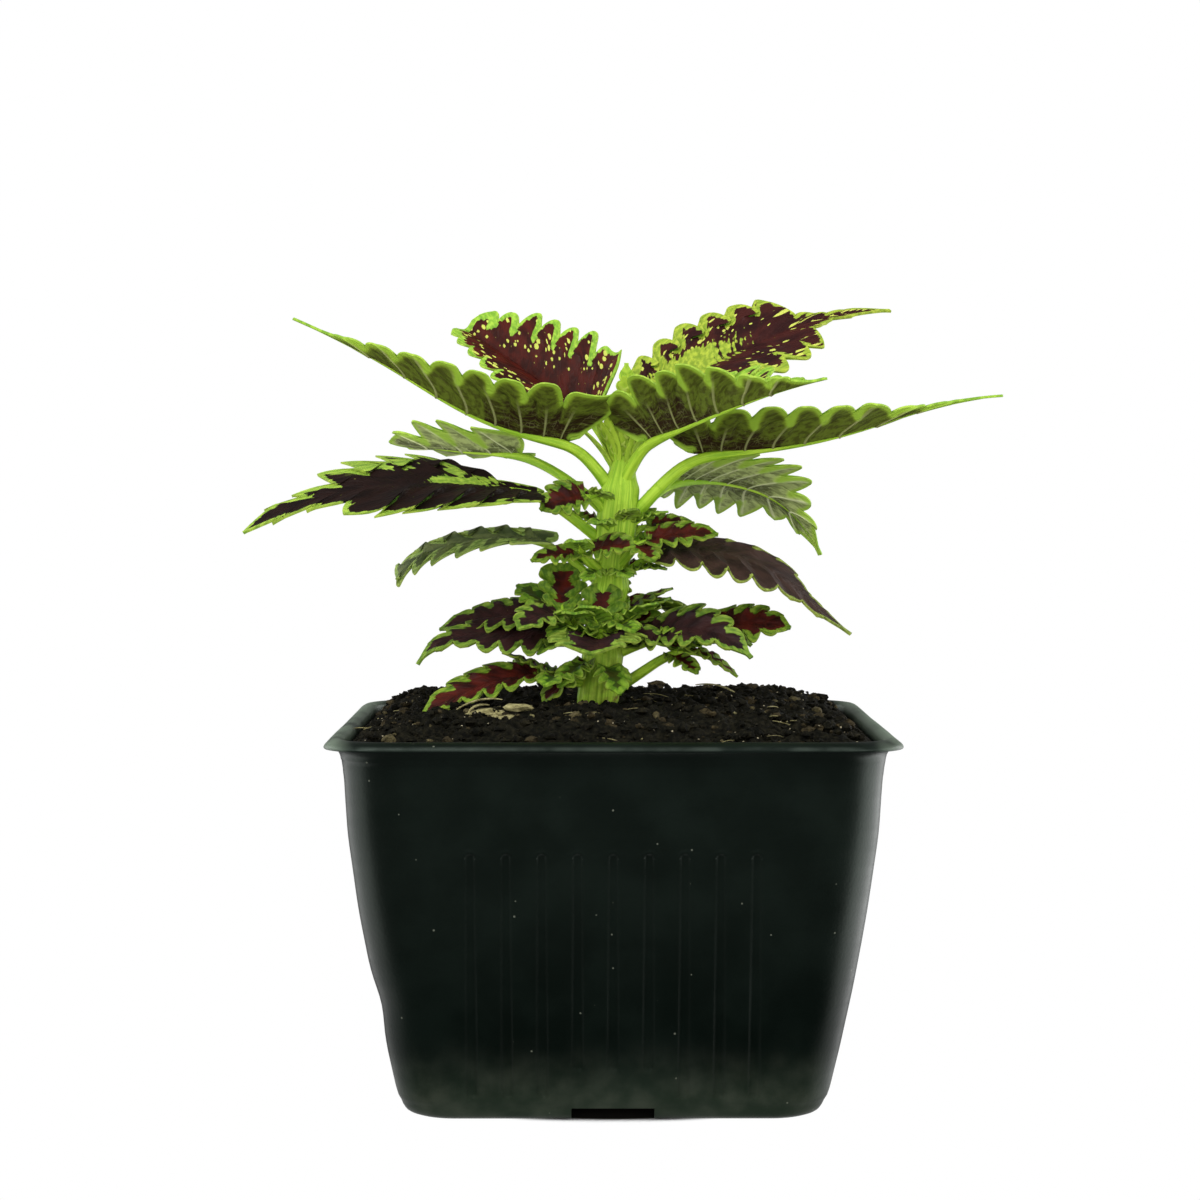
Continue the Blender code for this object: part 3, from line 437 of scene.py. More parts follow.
SHOOTS = {
    "shoot_upper_left": Shoot(216, 0.0100, (50, 40), 0.1242, (
        small_leaf(206, 0.0115, (0, -20, -24), 0.92, roll=-44, half_width=0.0060),
        small_leaf(300, 0.0075, (10, -10), 0.95, roll=-20),
        small_leaf(120, 0.0080, (20, 0), 0.80),
    )),
    "shoot_middle_left": Shoot(224, 0.0110, (36, 36), 0.1120, (
        small_leaf(328, 0.0118, (20, 6, -10), 0.92, roll=34, petiole=0.0018, half_width=0.0058),
        small_leaf(196, 0.0110, (6, -20), 0.85, roll=-24),
        small_leaf(262, 0.0080, (30, 0), 1.0, half_width=0.0040, look="young_green"),
    )),
    "shoot_middle_right": Shoot(312, 0.0110, (40, 40), 0.1135, (
        small_leaf(352, 0.0160, (12, 6, -6), 0.95, roll=30, half_width=0.0062),
        small_leaf(292, 0.0095, (-10, -30), 0.90, half_width=0.0048),
        small_leaf(20, 0.0100, (30, 16), 0.80, roll=20, look="young_green"),
    )),
    "shoot_upper_right": Shoot(12, 0.0085, (46, 36), 0.1185, (
        small_leaf(354, 0.0110, (10, 0, -20), 0.95, roll=24),
        small_leaf(46, 0.0080, (0, -20), 0.90),
    ), thick=0.0010),
    "shoot_low_left": Shoot(204, 0.0130, (46, 34), 0.0960, (
        small_leaf(194, 0.0350, (-2, -2, -6, -60), 0.42, petiole=0.006, half_width=0.0105, teeth=6, roll=-24,
                   fold=(6, 4), slim=0.2, widest=0.28, look="young_dark"),
        small_leaf(170, 0.0255, (0, -6, -20), 0.86, teeth=5, half_width=0.0085, roll=-26, look="young_dark"),
        small_leaf(92, 0.0118, (62, 66), 1.0, 0.0064, petiole=0.0014, teeth=3, widest=0.56, look="round"),
    )),
    "shoot_low_front": Shoot(270, 0.0105, (50, 50), 0.0925, (
        small_leaf(262, 0.0150, (6, -8, -24), 0.7, half_width=0.0120, teeth=6, widest=0.44, look="young_dark"),
        small_leaf(216, 0.0150, (-20, -40, -40), 0.35, petiole=0.004, petiole_rise=(-10, -30)),
        small_leaf(84, 0.0105, (70, 80), 1.0, 0.0060, petiole=0.0014, teeth=3, widest=0.50, look="round"),
    )),
    "shoot_low_right": Shoot(345, 0.0200, (26, 14), 0.0945, (
        small_leaf(320, 0.0330, (22, 8, -14, -40), 0.36, petiole=0.003, half_width=0.0090, teeth=6, roll=34,
                   widest=0.3, look="young_dark"),
        small_leaf(342, 0.0172, (8, 0, -8), 0.95, petiole=0.0085, petiole_rise=(8, 8), half_width=0.0080,
                   roll=34),
        small_leaf(60, 0.0120, (10, -10), 0.80),
    )),
    "shoot_base_right": Shoot(340, 0.0210, (-4, 32, 34, 16), 0.0880, (
        small_leaf(346, 0.0130, (-6, -30, -36), 0.97),
        small_leaf(306, 0.0100, (-10, -30), 0.85),
        small_leaf(70, 0.0090, (20, 0), 0.95),
    ), thick=0.0012),
    "shoot_base_left": Shoot(208, 0.0110, (10, 0), 0.0890, (
        small_leaf(203, 0.0290, (0, -18, -28), 0.92, teeth=5, half_width=0.0080, roll=-20),
        small_leaf(150, 0.0120, (20, 10), 0.8, look="young_green"),
    )),
    "shoot_low_back": Shoot(76, 0.0130, (46, 36), 0.0960, (
        small_leaf(40, 0.0210, (10, -10, -30), 0.95, teeth=5),
        small_leaf(122, 0.0200, (16, 0, -20), 0.80, teeth=5),
        small_leaf(84, 0.0100, (66, 60), 1.0),
    )),
    "growing_tip": Shoot(80, 0.0030, (80, 84), 0.1450, (
        small_leaf(88, 0.0120, (70, 84, 78), 0.8, half_width=0.0030, look="shoot_tip"),
        small_leaf(262, 0.0095, (62, 84, 80), 0.8, half_width=0.0028, look="shoot_tip"),
    ), thick=0.0011),
}

# Young leaves that fill the crown of the stem, its leaf axils and the middle of the low cluster.
CROWN_LEAVES = (  # azimuth, length, elevations, height on the stem, half width
    (192, 0.0125, (56, 40), 0.1350, 0.0022),
    (214, 0.0110, (66, 54), 0.1362, 0.0024),
    (236, 0.0120, (74, 62), 0.1345, 0.0020),
    (256, 0.0105, (80, 70), 0.1360, 0.0026),
    (276, 0.0115, (80, 72), 0.1342, 0.0020),
    (296, 0.0105, (76, 64), 0.1362, 0.0025),
    (318, 0.0120, (68, 54), 0.1346, 0.0021),
    (340, 0.0115, (60, 44), 0.1360, 0.0023),
    (6, 0.0125, (62, 46), 0.1352, 0.0024),
    (60, 0.0110, (72, 60), 0.1358, 0.0026),
    (110, 0.0115, (72, 60), 0.1350, 0.0026),
    (160, 0.0115, (64, 50), 0.1356, 0.0024),
)
AXIL_LEAVES = (  # azimuth, length, elevations, height on the stem, petiole, look
    (250, 0.0085, (20, -10), 0.1215, 0.0060, "young_green"),
    (292, 0.0075, (30, 10), 0.1225, 0.0055, "young"),
    (336, 0.0085, (30, 6), 0.1215, 0.0060, "young_green"),
    (40, 0.0080, (30, 6), 0.1225, 0.0055, "young"),
    (140, 0.0085, (30, 6), 0.1215, 0.0060, "young"),
    (244, 0.0080, (0, -24), 0.1125, 0.0060, "young_green"),
    (286, 0.0085, (6, -16), 0.1120, 0.0060, "young_green"),
    (330, 0.0090, (14, -10), 0.1120, 0.0060, "young_green"),
    (50, 0.0085, (20, 0), 0.1120, 0.0060, "young"),
    (150, 0.0090, (20, 0), 0.1125, 0.0060, "young"),
)
LOW_LEAVES = (  # azimuth, length, elevations, height on the stem, petiole, look
    (226, 0.0120, (30, 0, -30), 0.0960, 0.0075, "young_green"),
    (254, 0.0110, (34, 10), 0.0985, 0.0070, "young_green"),
    (292, 0.0120, (30, 0, -20), 0.0965, 0.0075, "young_green"),
    (320, 0.0110, (34, 16), 0.0985, 0.0070, "young_green"),
    (10, 0.0120, (40, 20), 0.0975, 0.0070, "young_green"),
    (170, 0.0120, (40, 20), 0.0975, 0.0070, "young_green"),
    (236, 0.0110, (-10, -40), 0.0925, 0.0070, "young_green"),
    (284, 0.0110, (-14, -44), 0.0920, 0.0070, "young_green"),
)
SHOOT_LEAVES = (  # shoot, azimuth, length, elevations, share of the shoot's length, half width, roll, look
    ("shoot_low_left", 232, 0.0150, (10, -10, -30), 0.90, None, -16, "young_dark"),
    ("shoot_low_left", 272, 0.0120, (20, 0), 0.75, None, 0, "young_green"),
    ("shoot_low_left", 140, 0.0140, (30, 20), 0.90, None, -20, "young_green"),
    ("shoot_low_left", 120, 0.0100, (40, 30), 0.60, None, 0, "young_green"),
    ("shoot_low_front", 205, 0.0140, (6, -20, -30), 0.85, None, 0, "young_green"),
    ("shoot_low_front", 332, 0.0150, (10, -10, -24), 0.85, None, 14, "young_dark"),
    ("shoot_low_front", 150, 0.0085, (40, 40), 0.95, None, 0, "young_green"),
    ("shoot_low_front", 30, 0.0090, (50, 44), 0.95, None, 0, "young_green"),
    ("shoot_low_right", 20, 0.0150, (24, 12), 0.55, None, 20, "young_green"),
    ("shoot_low_right", 300, 0.0120, (6, -20), 0.80, None, 0, "young_green"),
    ("shoot_low_right", 354, 0.0190, (16, -8, -44), 0.70, 0.0056, 26, "young"),
    ("shoot_low_right", 50, 0.0130, (50, 36), 0.30, None, 0, "young"),
    ("shoot_low_back", 76, 0.0170, (20, 0, -20), 0.95, None, 0, "young"),
    ("shoot_low_back", 160, 0.0150, (30, 10), 0.60, None, 0, "young"),
    ("shoot_low_back", 10, 0.0150, (40, 20), 0.55, None, 0, "young"),
    ("shoot_base_left", 250, 0.0120, (10, -20), 0.75, None, 0, "young_green"),
    ("shoot_base_left", 180, 0.0120, (30, 20), 0.95, None, 0, "young"),
    ("shoot_base_right", 10, 0.0110, (20, 0), 0.90, None, 0, "young_green"),
)


def on_stem(rows):
    return [(None, small_leaf(*row[:4], petiole=row[4], look=row[5])) for row in rows]


def on_shoots(rows):
    return [(row[0], small_leaf(*row[1:6], roll=row[6], look=row[7])) for row in rows]


YOUNG_GROWTH = {  # each leaf with the shoot that it grows on, or None where that is the main stem
    "crown_young_leaves": [(None, crown_leaf(*row)) for row in CROWN_LEAVES],
    "axil_young_leaves": on_stem(AXIL_LEAVES),
    "low_young_leaves": on_shoots(SHOOT_LEAVES) + on_stem(LOW_LEAVES),
}


def smooth(value, low=0.0, high=1.0):
    """0 up to low, 1 from high on, and a soft step between."""
    t = np.clip((value - low) / (high - low), 0.0, 1.0)
    return t * t * (3 - 2 * t)


def linear(colour):
    """An sRGB colour out of 255 as the linear colour that Blender's nodes take."""
    shares = [value / 255 for value in colour]
    return (*(s / 12.92 if s <= 0.04045 else ((s + 0.055) / 1.055) ** 2.4 for s in shares), 1.0)


class Wire:
    """A number, place or colour that comes out of a node, with the sums that a formula needs."""

    def __init__(self, paint, socket):
        self.paint = paint
        self.socket = socket

    def __add__(self, other):
        return self.paint.math("ADD", self, other)

    def __sub__(self, other):
        return self.paint.math("SUBTRACT", self, other)

    def __mul__(self, other):
        return self.paint.math("MULTIPLY", self, other)

    def fade(self, low, high):
        """0 up to low, 1 from high on, and a soft step between. Low may be the higher of the two."""
        made = self.paint.node("MapRange", self, low, high, 0.0, 1.0, interpolation_type="SMOOTHSTEP")
        return self.paint.wire(made)

    def axis(self, number):
        """One axis of a place, or one channel of a colour."""
        return self.paint.wire(self.paint.node("SeparateXYZ", self), number)

    def stretch(self, scale):
        """A place with each axis multiplied by its scale."""
        return self.paint.wire(self.paint.node("VectorMath", self, scale, operation="MULTIPLY"))


class Paint:
    """Builds a material's nodes. Most methods return a wire that carries their result."""

    def __init__(self, name):
        self.material = bpy.data.materials.new(name)
        self.material.use_nodes = True
        self.tree = self.material.node_tree
        self.shader = self.tree.nodes["Principled BSDF"]

    def feed(self, socket, value):
        if isinstance(value, Wire):
            self.tree.links.new(value.socket, socket)
        elif value is not None:
            socket.default_value = value

    def node(self, kind, *values, **settings):
        made = self.tree.nodes.new("ShaderNode" + kind)
        for key, value in settings.items():
            setattr(made, key, value)
        for socket, value in zip(made.inputs, values):
            self.feed(socket, value)
        return made

    def fed(self, kind, inputs, **settings):
        """A node whose values go to the inputs that they name."""
        made = self.node(kind, **settings)
        for name, value in inputs.items():
            self.feed(made.inputs[name], value)
        return made

    def wire(self, node, output=0):
        return Wire(self, node.outputs[output])

    def math(self, operation, a, b=None):
        return self.wire(self.node("Math", a, b, operation=operation))

    def mix(self, share, first, second):
        """A colour between two, given as wires or as sRGB out of 255."""
        made = self.node("Mix", share, data_type="RGBA")
        for socket, colour in zip(made.inputs[6:8], (first, second)):
            self.feed(socket, colour if isinstance(colour, Wire) else linear(colour))
        return self.wire(made, 2)

    def value(self, name):
        """A number stored on the mesh."""
        return self.wire(self.node("Attribute", attribute_name=name), "Fac")

    def flat(self):
        """The place on a flattened leaf or stalk that is stored on the mesh, in millimetres."""
        return self.wire(self.node("Attribute", attribute_name="flat"), "Vector")

    def place(self):
        """The object's own coordinates."""
        return self.wire(self.node("TexCoord"), "Object")

    def noise(self, where, scale, detail=2.0, roughness=0.5):
        inputs = {"Vector": where, "Scale": scale, "Detail": detail, "Roughness": roughness}
        return self.wire(self.fed("TexNoise", inputs, noise_dimensions="3D"), "Fac")

    def cells(self, where, scale, feature="F1"):
        """A node of cells round scattered middles."""
        inputs = {"Vector": where, "Scale": scale}
        return self.fed("TexVoronoi", inputs, voronoi_dimensions="3D", feature=feature)

    def net(self, where):
        """Distance to the nearest line between two cells."""
        return self.wire(self.cells(where, 1.0, "DISTANCE_TO_EDGE"), "Distance")

    def specks(self, where, scale, edge, chance):
        """Dots in some of the cells: edge is where a dot fades in, chance the draw that a dot needs."""
        cells = self.cells(where, scale)
        return self.wire(cells, "Distance").fade(*edge) * self.wire(cells, "Color").axis(0).fade(*chance)

    def bump(self, height, distance):
        inputs = {"Height": height, "Distance": distance, "Strength": 1.0}
        return self.wire(self.fed("Bump", inputs), "Normal")

    def surface(self, node):
        self.tree.links.new(node.outputs[0], self.tree.nodes["Material Output"].inputs["Surface"])

    def finish(self, through=0.0, **values):
        """The material. Values go to the shader's sockets by name; through is light that a blade lets past."""
        for name, value in values.items():
            self.feed(self.shader.inputs[name.replace("_", " ")], value)
        if through:
            thin = self.node("BsdfTranslucent", values["Base_Color"])
            self.surface(self.node("MixShader", through, self.wire(self.shader), self.wire(thin)))
        return self.material


def upper_side(name, look):
    """A leaf's upper side: a maroon heart, pale flecks and a green rim that follows each tooth."""
    paint = Paint(name)
    flat = paint.flat()
    edge, crown, patch = (paint.value(key) for key in ("edge", "crown", "patch"))
    wide, vein, room = (paint.value(key) for key in ("wide", "vein", "room"))
    streaks = (paint.noise(flat.stretch((1.15, 0.20, 1.0)), 1.0) - 0.5) * room
    blotches = (paint.noise(flat, 0.45) - 0.5) * room
    width = (crown * (look.rim * (1 - look.rim_low)) + look.rim * look.rim_low) * wide
    width = width + streaks * (2.4 * look.streak) + blotches * 0.8
    heart = paint.mix(paint.noise(flat, 0.25, 3.0).fade(0.35, 0.65), look.heart_dark, look.heart)
    heart = paint.mix(vein.fade(0.35, 0.05) * 0.35, heart, look.heart)
    rim = paint.mix(paint.noise(flat, 0.9, 3.0).fade(0.35, 0.7), look.rim_deep, look.rim_colour)
    # Painted highlight: a thin pale line along the very margin, fainter where the blade is narrow.
    rim = paint.mix(edge.fade(0.30, 0.0) * (room * 0.25), rim, look.fleck_colour)

    spots = paint.cells(flat, 0.72)
    chance = paint.wire(spots, "Color")
    size = (chance.axis(0) * 0.26 + 0.20) * edge.fade(look.fleck_reach, look.fleck_reach * 0.45)
    size = size * crown.fade(0.0, 0.40) * chance.axis(1).fade(1.0 - look.fleck, 1.02 - look.fleck)
    apart = paint.wire(spots, "Distance") + (paint.noise(flat, 2.6) - 0.5) * 0.30
    colour = paint.mix((size - apart).fade(-0.03, 0.04), heart, look.fleck_colour)
    lime = patch + (streaks * 0.7 + blotches * 0.9)
    colour = paint.mix(lime.fade(0.42, 0.5), colour, rim)
    colour = paint.mix((edge - width).fade(-0.12, 0.16), rim, colour)

    relief = paint.net(flat.stretch((0.62, 0.5, 1.0))).fade(0.0, 0.35) + paint.noise(flat, 1.5) * 0.14
    gloss = paint.noise(flat, 2.0) * 0.22 + 0.42
    normal = paint.bump(relief, 0.00009)
    return paint.finish(0.16, Base_Color=colour, Roughness=gloss, Normal=normal, Specular_IOR_Level=0.16)


def under_side(name, look):
    """A leaf's underside: green pillows round a dark heart, with pale veins that stand out."""
    paint = Paint(name)
    flat = paint.flat()
    edge, across, vein, room = (paint.value(key) for key in ("edge", "across", "vein", "room"))
    blotches = (paint.noise(flat, 0.26, 4.0, 0.62) - 0.5) * room
    ended, ends = look.dark_run
    reach = across + blotches * 1.1 + flat.axis(0).fade(ends, ended) * 0.8
    dark = reach.fade(look.under_reach + 0.14, look.under_reach - 0.10) * room.fade(0.3, 0.9)
    centre = (edge + blotches * 2.0).fade(0.5, 1.9)
    green = paint.mix(centre, look.under_rim, look.under_green)
    mottled = paint.noise(flat, 0.7, 2.0, 0.6).fade(0.42, 0.62)
    green = paint.mix(mottled * (centre * 0.55), green, look.under_heart)
    lengthwise = paint.noise(flat.stretch((0.16, 1.7, 1.0)), 1.0, 3.0, 0.6)
    heart = paint.mix(lengthwise.fade(0.48, 0.66) * 0.55, look.under_heart, look.under_green)
    colour = paint.mix(dark, green, heart)

    bent = paint.wire(paint.node("VectorMath", flat, paint.noise(flat, 0.35), operation="ADD"))
    net = paint.net(bent.stretch((0.85, 0.75, 1.0)))
    fine = net.fade(0.08, 0.015) * look.net * paint.noise(flat, 0.5).fade(0.42, 0.62)
    colour = paint.mix(fine * (dark * 0.40 + 0.08), colour, look.vein)
    thick = vein.fade(0.40, 0.14) * across.fade(look.vein_reach, look.vein_reach - 0.38)
    colour = paint.mix(thick * 0.75, colour, look.vein)
    colour = paint.mix(edge.fade(1.2, 0.4) * 0.8, colour, look.rim_colour)

    relief = net.fade(0.4, 0.0) + paint.noise(flat, 1.5) * 0.16
    gloss = paint.noise(flat, 2.0) * 0.2 + 0.5
    normal = paint.bump(relief, 0.00008)
    return paint.finish(0.18, Base_Color=colour, Roughness=gloss, Normal=normal, Specular_IOR_Level=0.15)


def stalk_side(name, pale, green, base):
    """A fleshy stalk with lengthwise ribs, browner towards its foot."""
    paint = Paint(name)
    flat = paint.flat()
    ribs = paint.noise(flat.stretch((0.06, 1.6, 1.0)), 1.0, 3.0, 0.6)
    mottle = paint.noise(flat, 0.5, 3.0)
    colour = paint.mix(ribs.fade(0.35, 0.65), green, pale)
    colour = paint.mix(mottle.fade(0.52, 0.7) * 0.5, colour, green)
    colour = paint.mix(paint.value("foot") * mottle.fade(0.35, 0.6), colour, base)
    normal = paint.bump(ribs + paint.noise(flat, 3.0, 3.0) * 0.3, 0.00035)
    gloss = mottle * 0.2 + 0.36
    return paint.finish(0.18, Base_Color=colour, Roughness=gloss, Normal=normal, Specular_IOR_Level=0.25)


NUMBERS = ("edge", "crown", "across", "vein", "patch", "foot", "wide", "tint", "room")


class Piece:
    """Gathers the surfaces of one piece, then makes its mesh."""

    def __init__(self, name):
        self.name = name
        self.points, self.faces, self.slots, self.places = [], [], [], []
        self.numbers = {key: [] for key in NUMBERS}
        self.count = 0

    def add(self, points, faces, slots, flat, **numbers):
        """One closed surface. Faces are lists of corners; slots gives each face's material."""
        points = np.asarray(points, float)
        faces = [tuple(face) for face in faces]
        if signed_volume(points, faces) < 0:
            faces = [face[::-1] for face in faces]
        self.points.append(points)
        self.faces += [tuple(corner + self.count for corner in face) for face in faces]
        self.slots += list(slots)
        self.places.append(np.asarray(flat, float))
        for key in NUMBERS:
            self.numbers[key].append(np.broadcast_to(numbers.get(key, 0.0), (len(points),)))
        self.count += len(points)

    def make(self, materials, node=None, sharp=62.0):
        mesh = bpy.data.meshes.new(self.name)
        mesh.from_pydata(np.concatenate(self.points).tolist(), [], self.faces)
        mesh.polygons.foreach_set("material_index", np.array(self.slots, np.int32))
        for material in materials:
            mesh.materials.append(material)
        places = mesh.attributes.new("flat", "FLOAT_VECTOR", "POINT")
        places.data.foreach_set("vector", np.concatenate(self.places).astype(np.float32).ravel())
        for key in NUMBERS:
            stored = mesh.attributes.new(key, "FLOAT", "POINT")
            stored.data.foreach_set("value", np.concatenate(self.numbers[key]).astype(np.float32))
        mesh.shade_smooth()
        mesh.set_sharp_from_angle(angle=math.radians(sharp))
        thing = bpy.data.objects.new(self.name, mesh)
        bpy.context.scene.collection.objects.link(thing)
        return settle(thing, node)


def settle(thing, node):
    """Every piece rides on the one body, and some stand for a solid."""
    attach(thing, "root")
    if node:
        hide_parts(node)
    return thing


def signed_volume(points, faces):
    first = points[[face[0] for face in faces]]
    total = 0.0
    sizes = np.array([len(face) for face in faces])
    for corner in range(1, sizes.max() - 1):
        chosen = np.nonzero(sizes > corner + 1)[0]
        second = points[[faces[i][corner] for i in chosen]]
        third = points[[faces[i][corner + 1] for i in chosen]]
        total += np.einsum("ij,ij->i", first[chosen], np.cross(second, third)).sum()
    return total


def stem_centre(height):
    return Vector((STEM_FOOT.x + STEM_LEAN * (height - STEM_FOOT.z), STEM_FOOT.y, height))


class Spine:
    """A curve that turns steadily in azimuth and elevation, with a tangent, a left side and an upper side."""

    def __init__(self, start, azimuth, turn, rise, length, roll=0.0):
        self.length = length
        share = np.linspace(0.0, 1.0, SPINE_POINTS)
        self.along = share * length
        heading = np.radians(azimuth + turn * share)
        lift = np.radians(np.interp(share, np.linspace(0.0, 1.0, len(rise)), rise))
        level = np.cos(lift)
        self.tangent = np.stack([level * np.cos(heading), level * np.sin(heading), np.sin(lift)], 1)
        steps = (self.tangent[1:] + self.tangent[:-1]) / 2 * length / (SPINE_POINTS - 1)
        self.points = np.vstack([np.zeros(3), np.cumsum(steps, axis=0)]) + np.array(start)
        left = np.stack([-np.sin(heading), np.cos(heading), np.zeros_like(share)], 1)
        upper = np.cross(self.tangent, left)
        tilt = math.radians(roll)
        self.left = math.cos(tilt) * left + math.sin(tilt) * upper
        self.upper = math.cos(tilt) * upper - math.sin(tilt) * left

    def place(self, distance):
        """Points at these distances. Beyond its ends the curve runs straight on."""
        behind = np.minimum(distance, 0.0)[..., None] * self.tangent[0]
        ahead = np.maximum(distance - self.length, 0.0)[..., None] * self.tangent[-1]
        return self.read(self.points, distance) + behind + ahead

    def read(self, values, distance):
        """The curve's values at these distances from its start. Past the ends it stays at the end's value."""
        flat = np.ravel(distance)
        read = np.stack([np.interp(flat, self.along, values[:, axis]) for axis in range(3)], -1)
        return read.reshape(*np.shape(distance), 3)


def petiole_spine(leaf, start):
    return Spine(start, leaf.azimuth, 0.0, leaf.petiole_rise, leaf.petiole, leaf.roll)


def blade_spine(leaf, start):
    return Spine(start, leaf.azimuth, leaf.turn, leaf.rise, leaf.length, leaf.roll)


def body_width(leaf, share):
    """Half width of the blade without its notches: an oval with a long narrow tip."""
    taper = leaf.full * (1 - leaf.widest) / leaf.widest
    oval = share**leaf.full * (1 - share) ** taper
    oval = oval / (leaf.widest**leaf.full * (1 - leaf.widest) ** taper)
    return leaf.half_width * oval * (1 - leaf.slim * smooth((share - TIP_TAPER[0]) / TIP_TAPER[1]))


@dataclass
class Grain:
    """How finely a blade is divided."""

    columns: int = 15
    marks: tuple = (0, 0.08, 0.16, 0.24, 0.32, 0.40, 0.45, 0.5, 0.55, 0.60, 0.68, 0.76, 0.84, 0.92)
    base_rows: int = 9
    tip_rows: int = 14
    stalk_sides: int = 16
    stalk_rows: int = 14
    rib_rows: int = 30


FINE = Grain()
SMALL = Grain(9, (0, 0.12, 0.25, 0.40, 0.5, 0.60, 0.75, 0.88), 6, 8, 10, 6, 12)


def blade_rows(leaf, grain, random):
    """For each row: share at the midrib and at the margin, phase, swell, tooth height, and its random lack."""
    rows = []
    for i in range(grain.base_rows):
        share = TOOTHED_FROM * (i / grain.base_rows) ** 2
        rows.append((share, share, 0.0, 0.0, 1.0, 0.0))
    pitch = (leaf.toothed_to - TOOTHED_FROM) / leaf.teeth
    for tooth in range(leaf.teeth):
        lack = random.uniform(0.0, 0.13)
        shift = random.uniform(-0.08, 0.08)
        for mark in grain.marks:
            bunched = mark - BUNCH * math.sin(2 * math.pi * mark) / (2 * math.pi)
            height = (1 - abs(2 * bunched - 1) ** leaf.blunt) ** (1 / TOOTH_FLANK)
            crown = leaf.crown + shift
            placed = bunched * 2 * crown if bunched < 0.5 else crown + (bunched - 0.5) * 2 * (1 - crown)
            outer_half = (tooth == 0 and mark < 0.5) or (tooth == leaf.teeth - 1 and mark > 0.5)
            even = TOOTHED_FROM + pitch * (tooth + mark)
            margin = TOOTHED_FROM + pitch * (tooth + placed)
            rows.append((even, margin, mark, height, 1.0 if outer_half else height, lack * height))
    for i in range(grain.tip_rows + 1):
        share = 1 - (1 - leaf.toothed_to) * (1 - i / grain.tip_rows) ** 1.2
        rows.append((share, share, 0.0, 0.0, 1.0, 0.0))
    return np.array(rows).T


def half_blade(leaf, spine, grain, side, random):
    """Points, normals and stored numbers of half a blade. Side 1 is left, -1 right."""
    even, outer, phase, swell, tooth, lack = blade_rows(leaf, grain, random)
    reach = np.linspace(0.0, 1.0, grain.columns + 1) ** 0.92
    least = np.where(even < 0.5, LOW_EDGE * leaf.thick, TIP_WIDTH)
    notch = leaf.notch * (1 - leaf.calm) if side > 0 else leaf.notch
    run = ((0.0, 1.0), (1.0, 1.0)) if side > 0 else leaf.right_run
    body = np.maximum(body_width(leaf, outer) * np.interp(outer, *zip(*run)), least)
    cut = np.maximum(body * (1 - notch * (1 - tooth)) * (1 - lack), least)
    from_base = outer / BASE_LOBE
    backward = leaf.back * np.sqrt(from_base) * np.exp((1 - from_base) / 2)
    along_margin = leaf.length * outer + leaf.lean * leaf.length / leaf.teeth * swell - backward
    if side < 0:
        along_margin = along_margin + leaf.right_sweep * cut

    follow = smooth(reach, SCALLOP_FROM, 1.0)[None, :]
    share = even[:, None] * (1 - follow) + outer[:, None] * follow
    inner = np.maximum(body_width(leaf, share) * np.interp(share, *zip(*run)), least[:, None])
    width = reach[None, :] * (BODY_REACH * inner * (1 - follow) + cut[:, None] * follow)
    rooted = (leaf.length * even**VEIN_SWEEP)[:, None]
    along = rooted + reach[None, :] ** VEIN_CURVE * (along_margin[:, None] - rooted)

    fold = math.radians(leaf.fold[0] if side > 0 else leaf.fold[1])
    opened = 1.0 - FOLD_FADE * np.maximum(along, 0.0) / leaf.length
    first = fold * opened * np.minimum(1.0, body / FLAT_WIDTH)[:, None]
    arch = math.radians(leaf.droop) / leaf.half_width
    angle = first - arch * width
    sideways = (np.sin(first) - np.sin(angle)) / arch
    upward = (np.cos(angle) - np.cos(first)) / arch
    toothed = (phase > 0) | (swell > 0) | ((even >= TOOTHED_FROM) & (even < leaf.toothed_to))
    fold_line = np.abs(2 * phase - 1)[:, None]
    ripple = leaf.wave * (2 * fold_line**2.2 - 1) * toothed[:, None] * (width / leaf.half_width) ** 2
    edge_in = smooth(np.minimum(even / 0.12, (1 - even) / 0.25))[:, None]
    swelling = leaf.pillow * (fold_line**1.6 - 0.4) * edge_in
    swelling = swelling * np.sin(math.pi * np.minimum(reach, 0.92))[None, :]
    swelling = swelling * np.minimum(1.0, width / 0.004)

    middle = spine.place(along)
    left, upper = spine.read(spine.left, along), spine.read(spine.upper, along)
    points = middle + (side * sideways)[..., None] * left + (upward + ripple + swelling)[..., None] * upper
    normals = -(side * np.sin(angle))[..., None] * left + np.cos(angle)[..., None] * upper
    normals[:, 0] = upper[:, 0]

    pitch = (leaf.toothed_to - TOOTHED_FROM) / leaf.teeth * leaf.length
    to_vein = np.where(toothed, np.abs(phase - 0.5) * pitch / MM, 9.0)[:, None] + 0 * width
    numbers = {
        "edge": edge_distance(along, width, along_margin, cut),
        "crown": np.where(toothed, 1 - fold_line[:, 0], 0.6)[:, None] + 0 * width,
        "across": width / leaf.half_width,
        "vein": to_vein,
        "patch": patch_strength(leaf, share, side * reach[None, :] + 0 * width),
        "wide": np.interp(share, *zip(*leaf.rim_run)),
        "room": np.clip(body / 0.0035, 0.0, 1.0)[:, None] + 0 * width,
    }
    flat = np.stack([leaf.length * even[:, None] / MM + 0 * width, side * width / MM, 0 * width], -1)
    return points, normals, numbers, flat


def edge_distance(along, width, along_margin, cut):
    """Distance in millimetres from each point of half a flat blade to its margin."""
    steps = np.linspace(0.0, len(cut) - 1, 5 * len(cut))
    rim_along = np.interp(steps, np.arange(len(cut)), along_margin)
    rim_width = np.interp(steps, np.arange(len(cut)), cut)
    apart = np.hypot(along.reshape(-1, 1) - rim_along, width.reshape(-1, 1) - rim_width)
    return apart.min(axis=1).reshape(along.shape) / MM


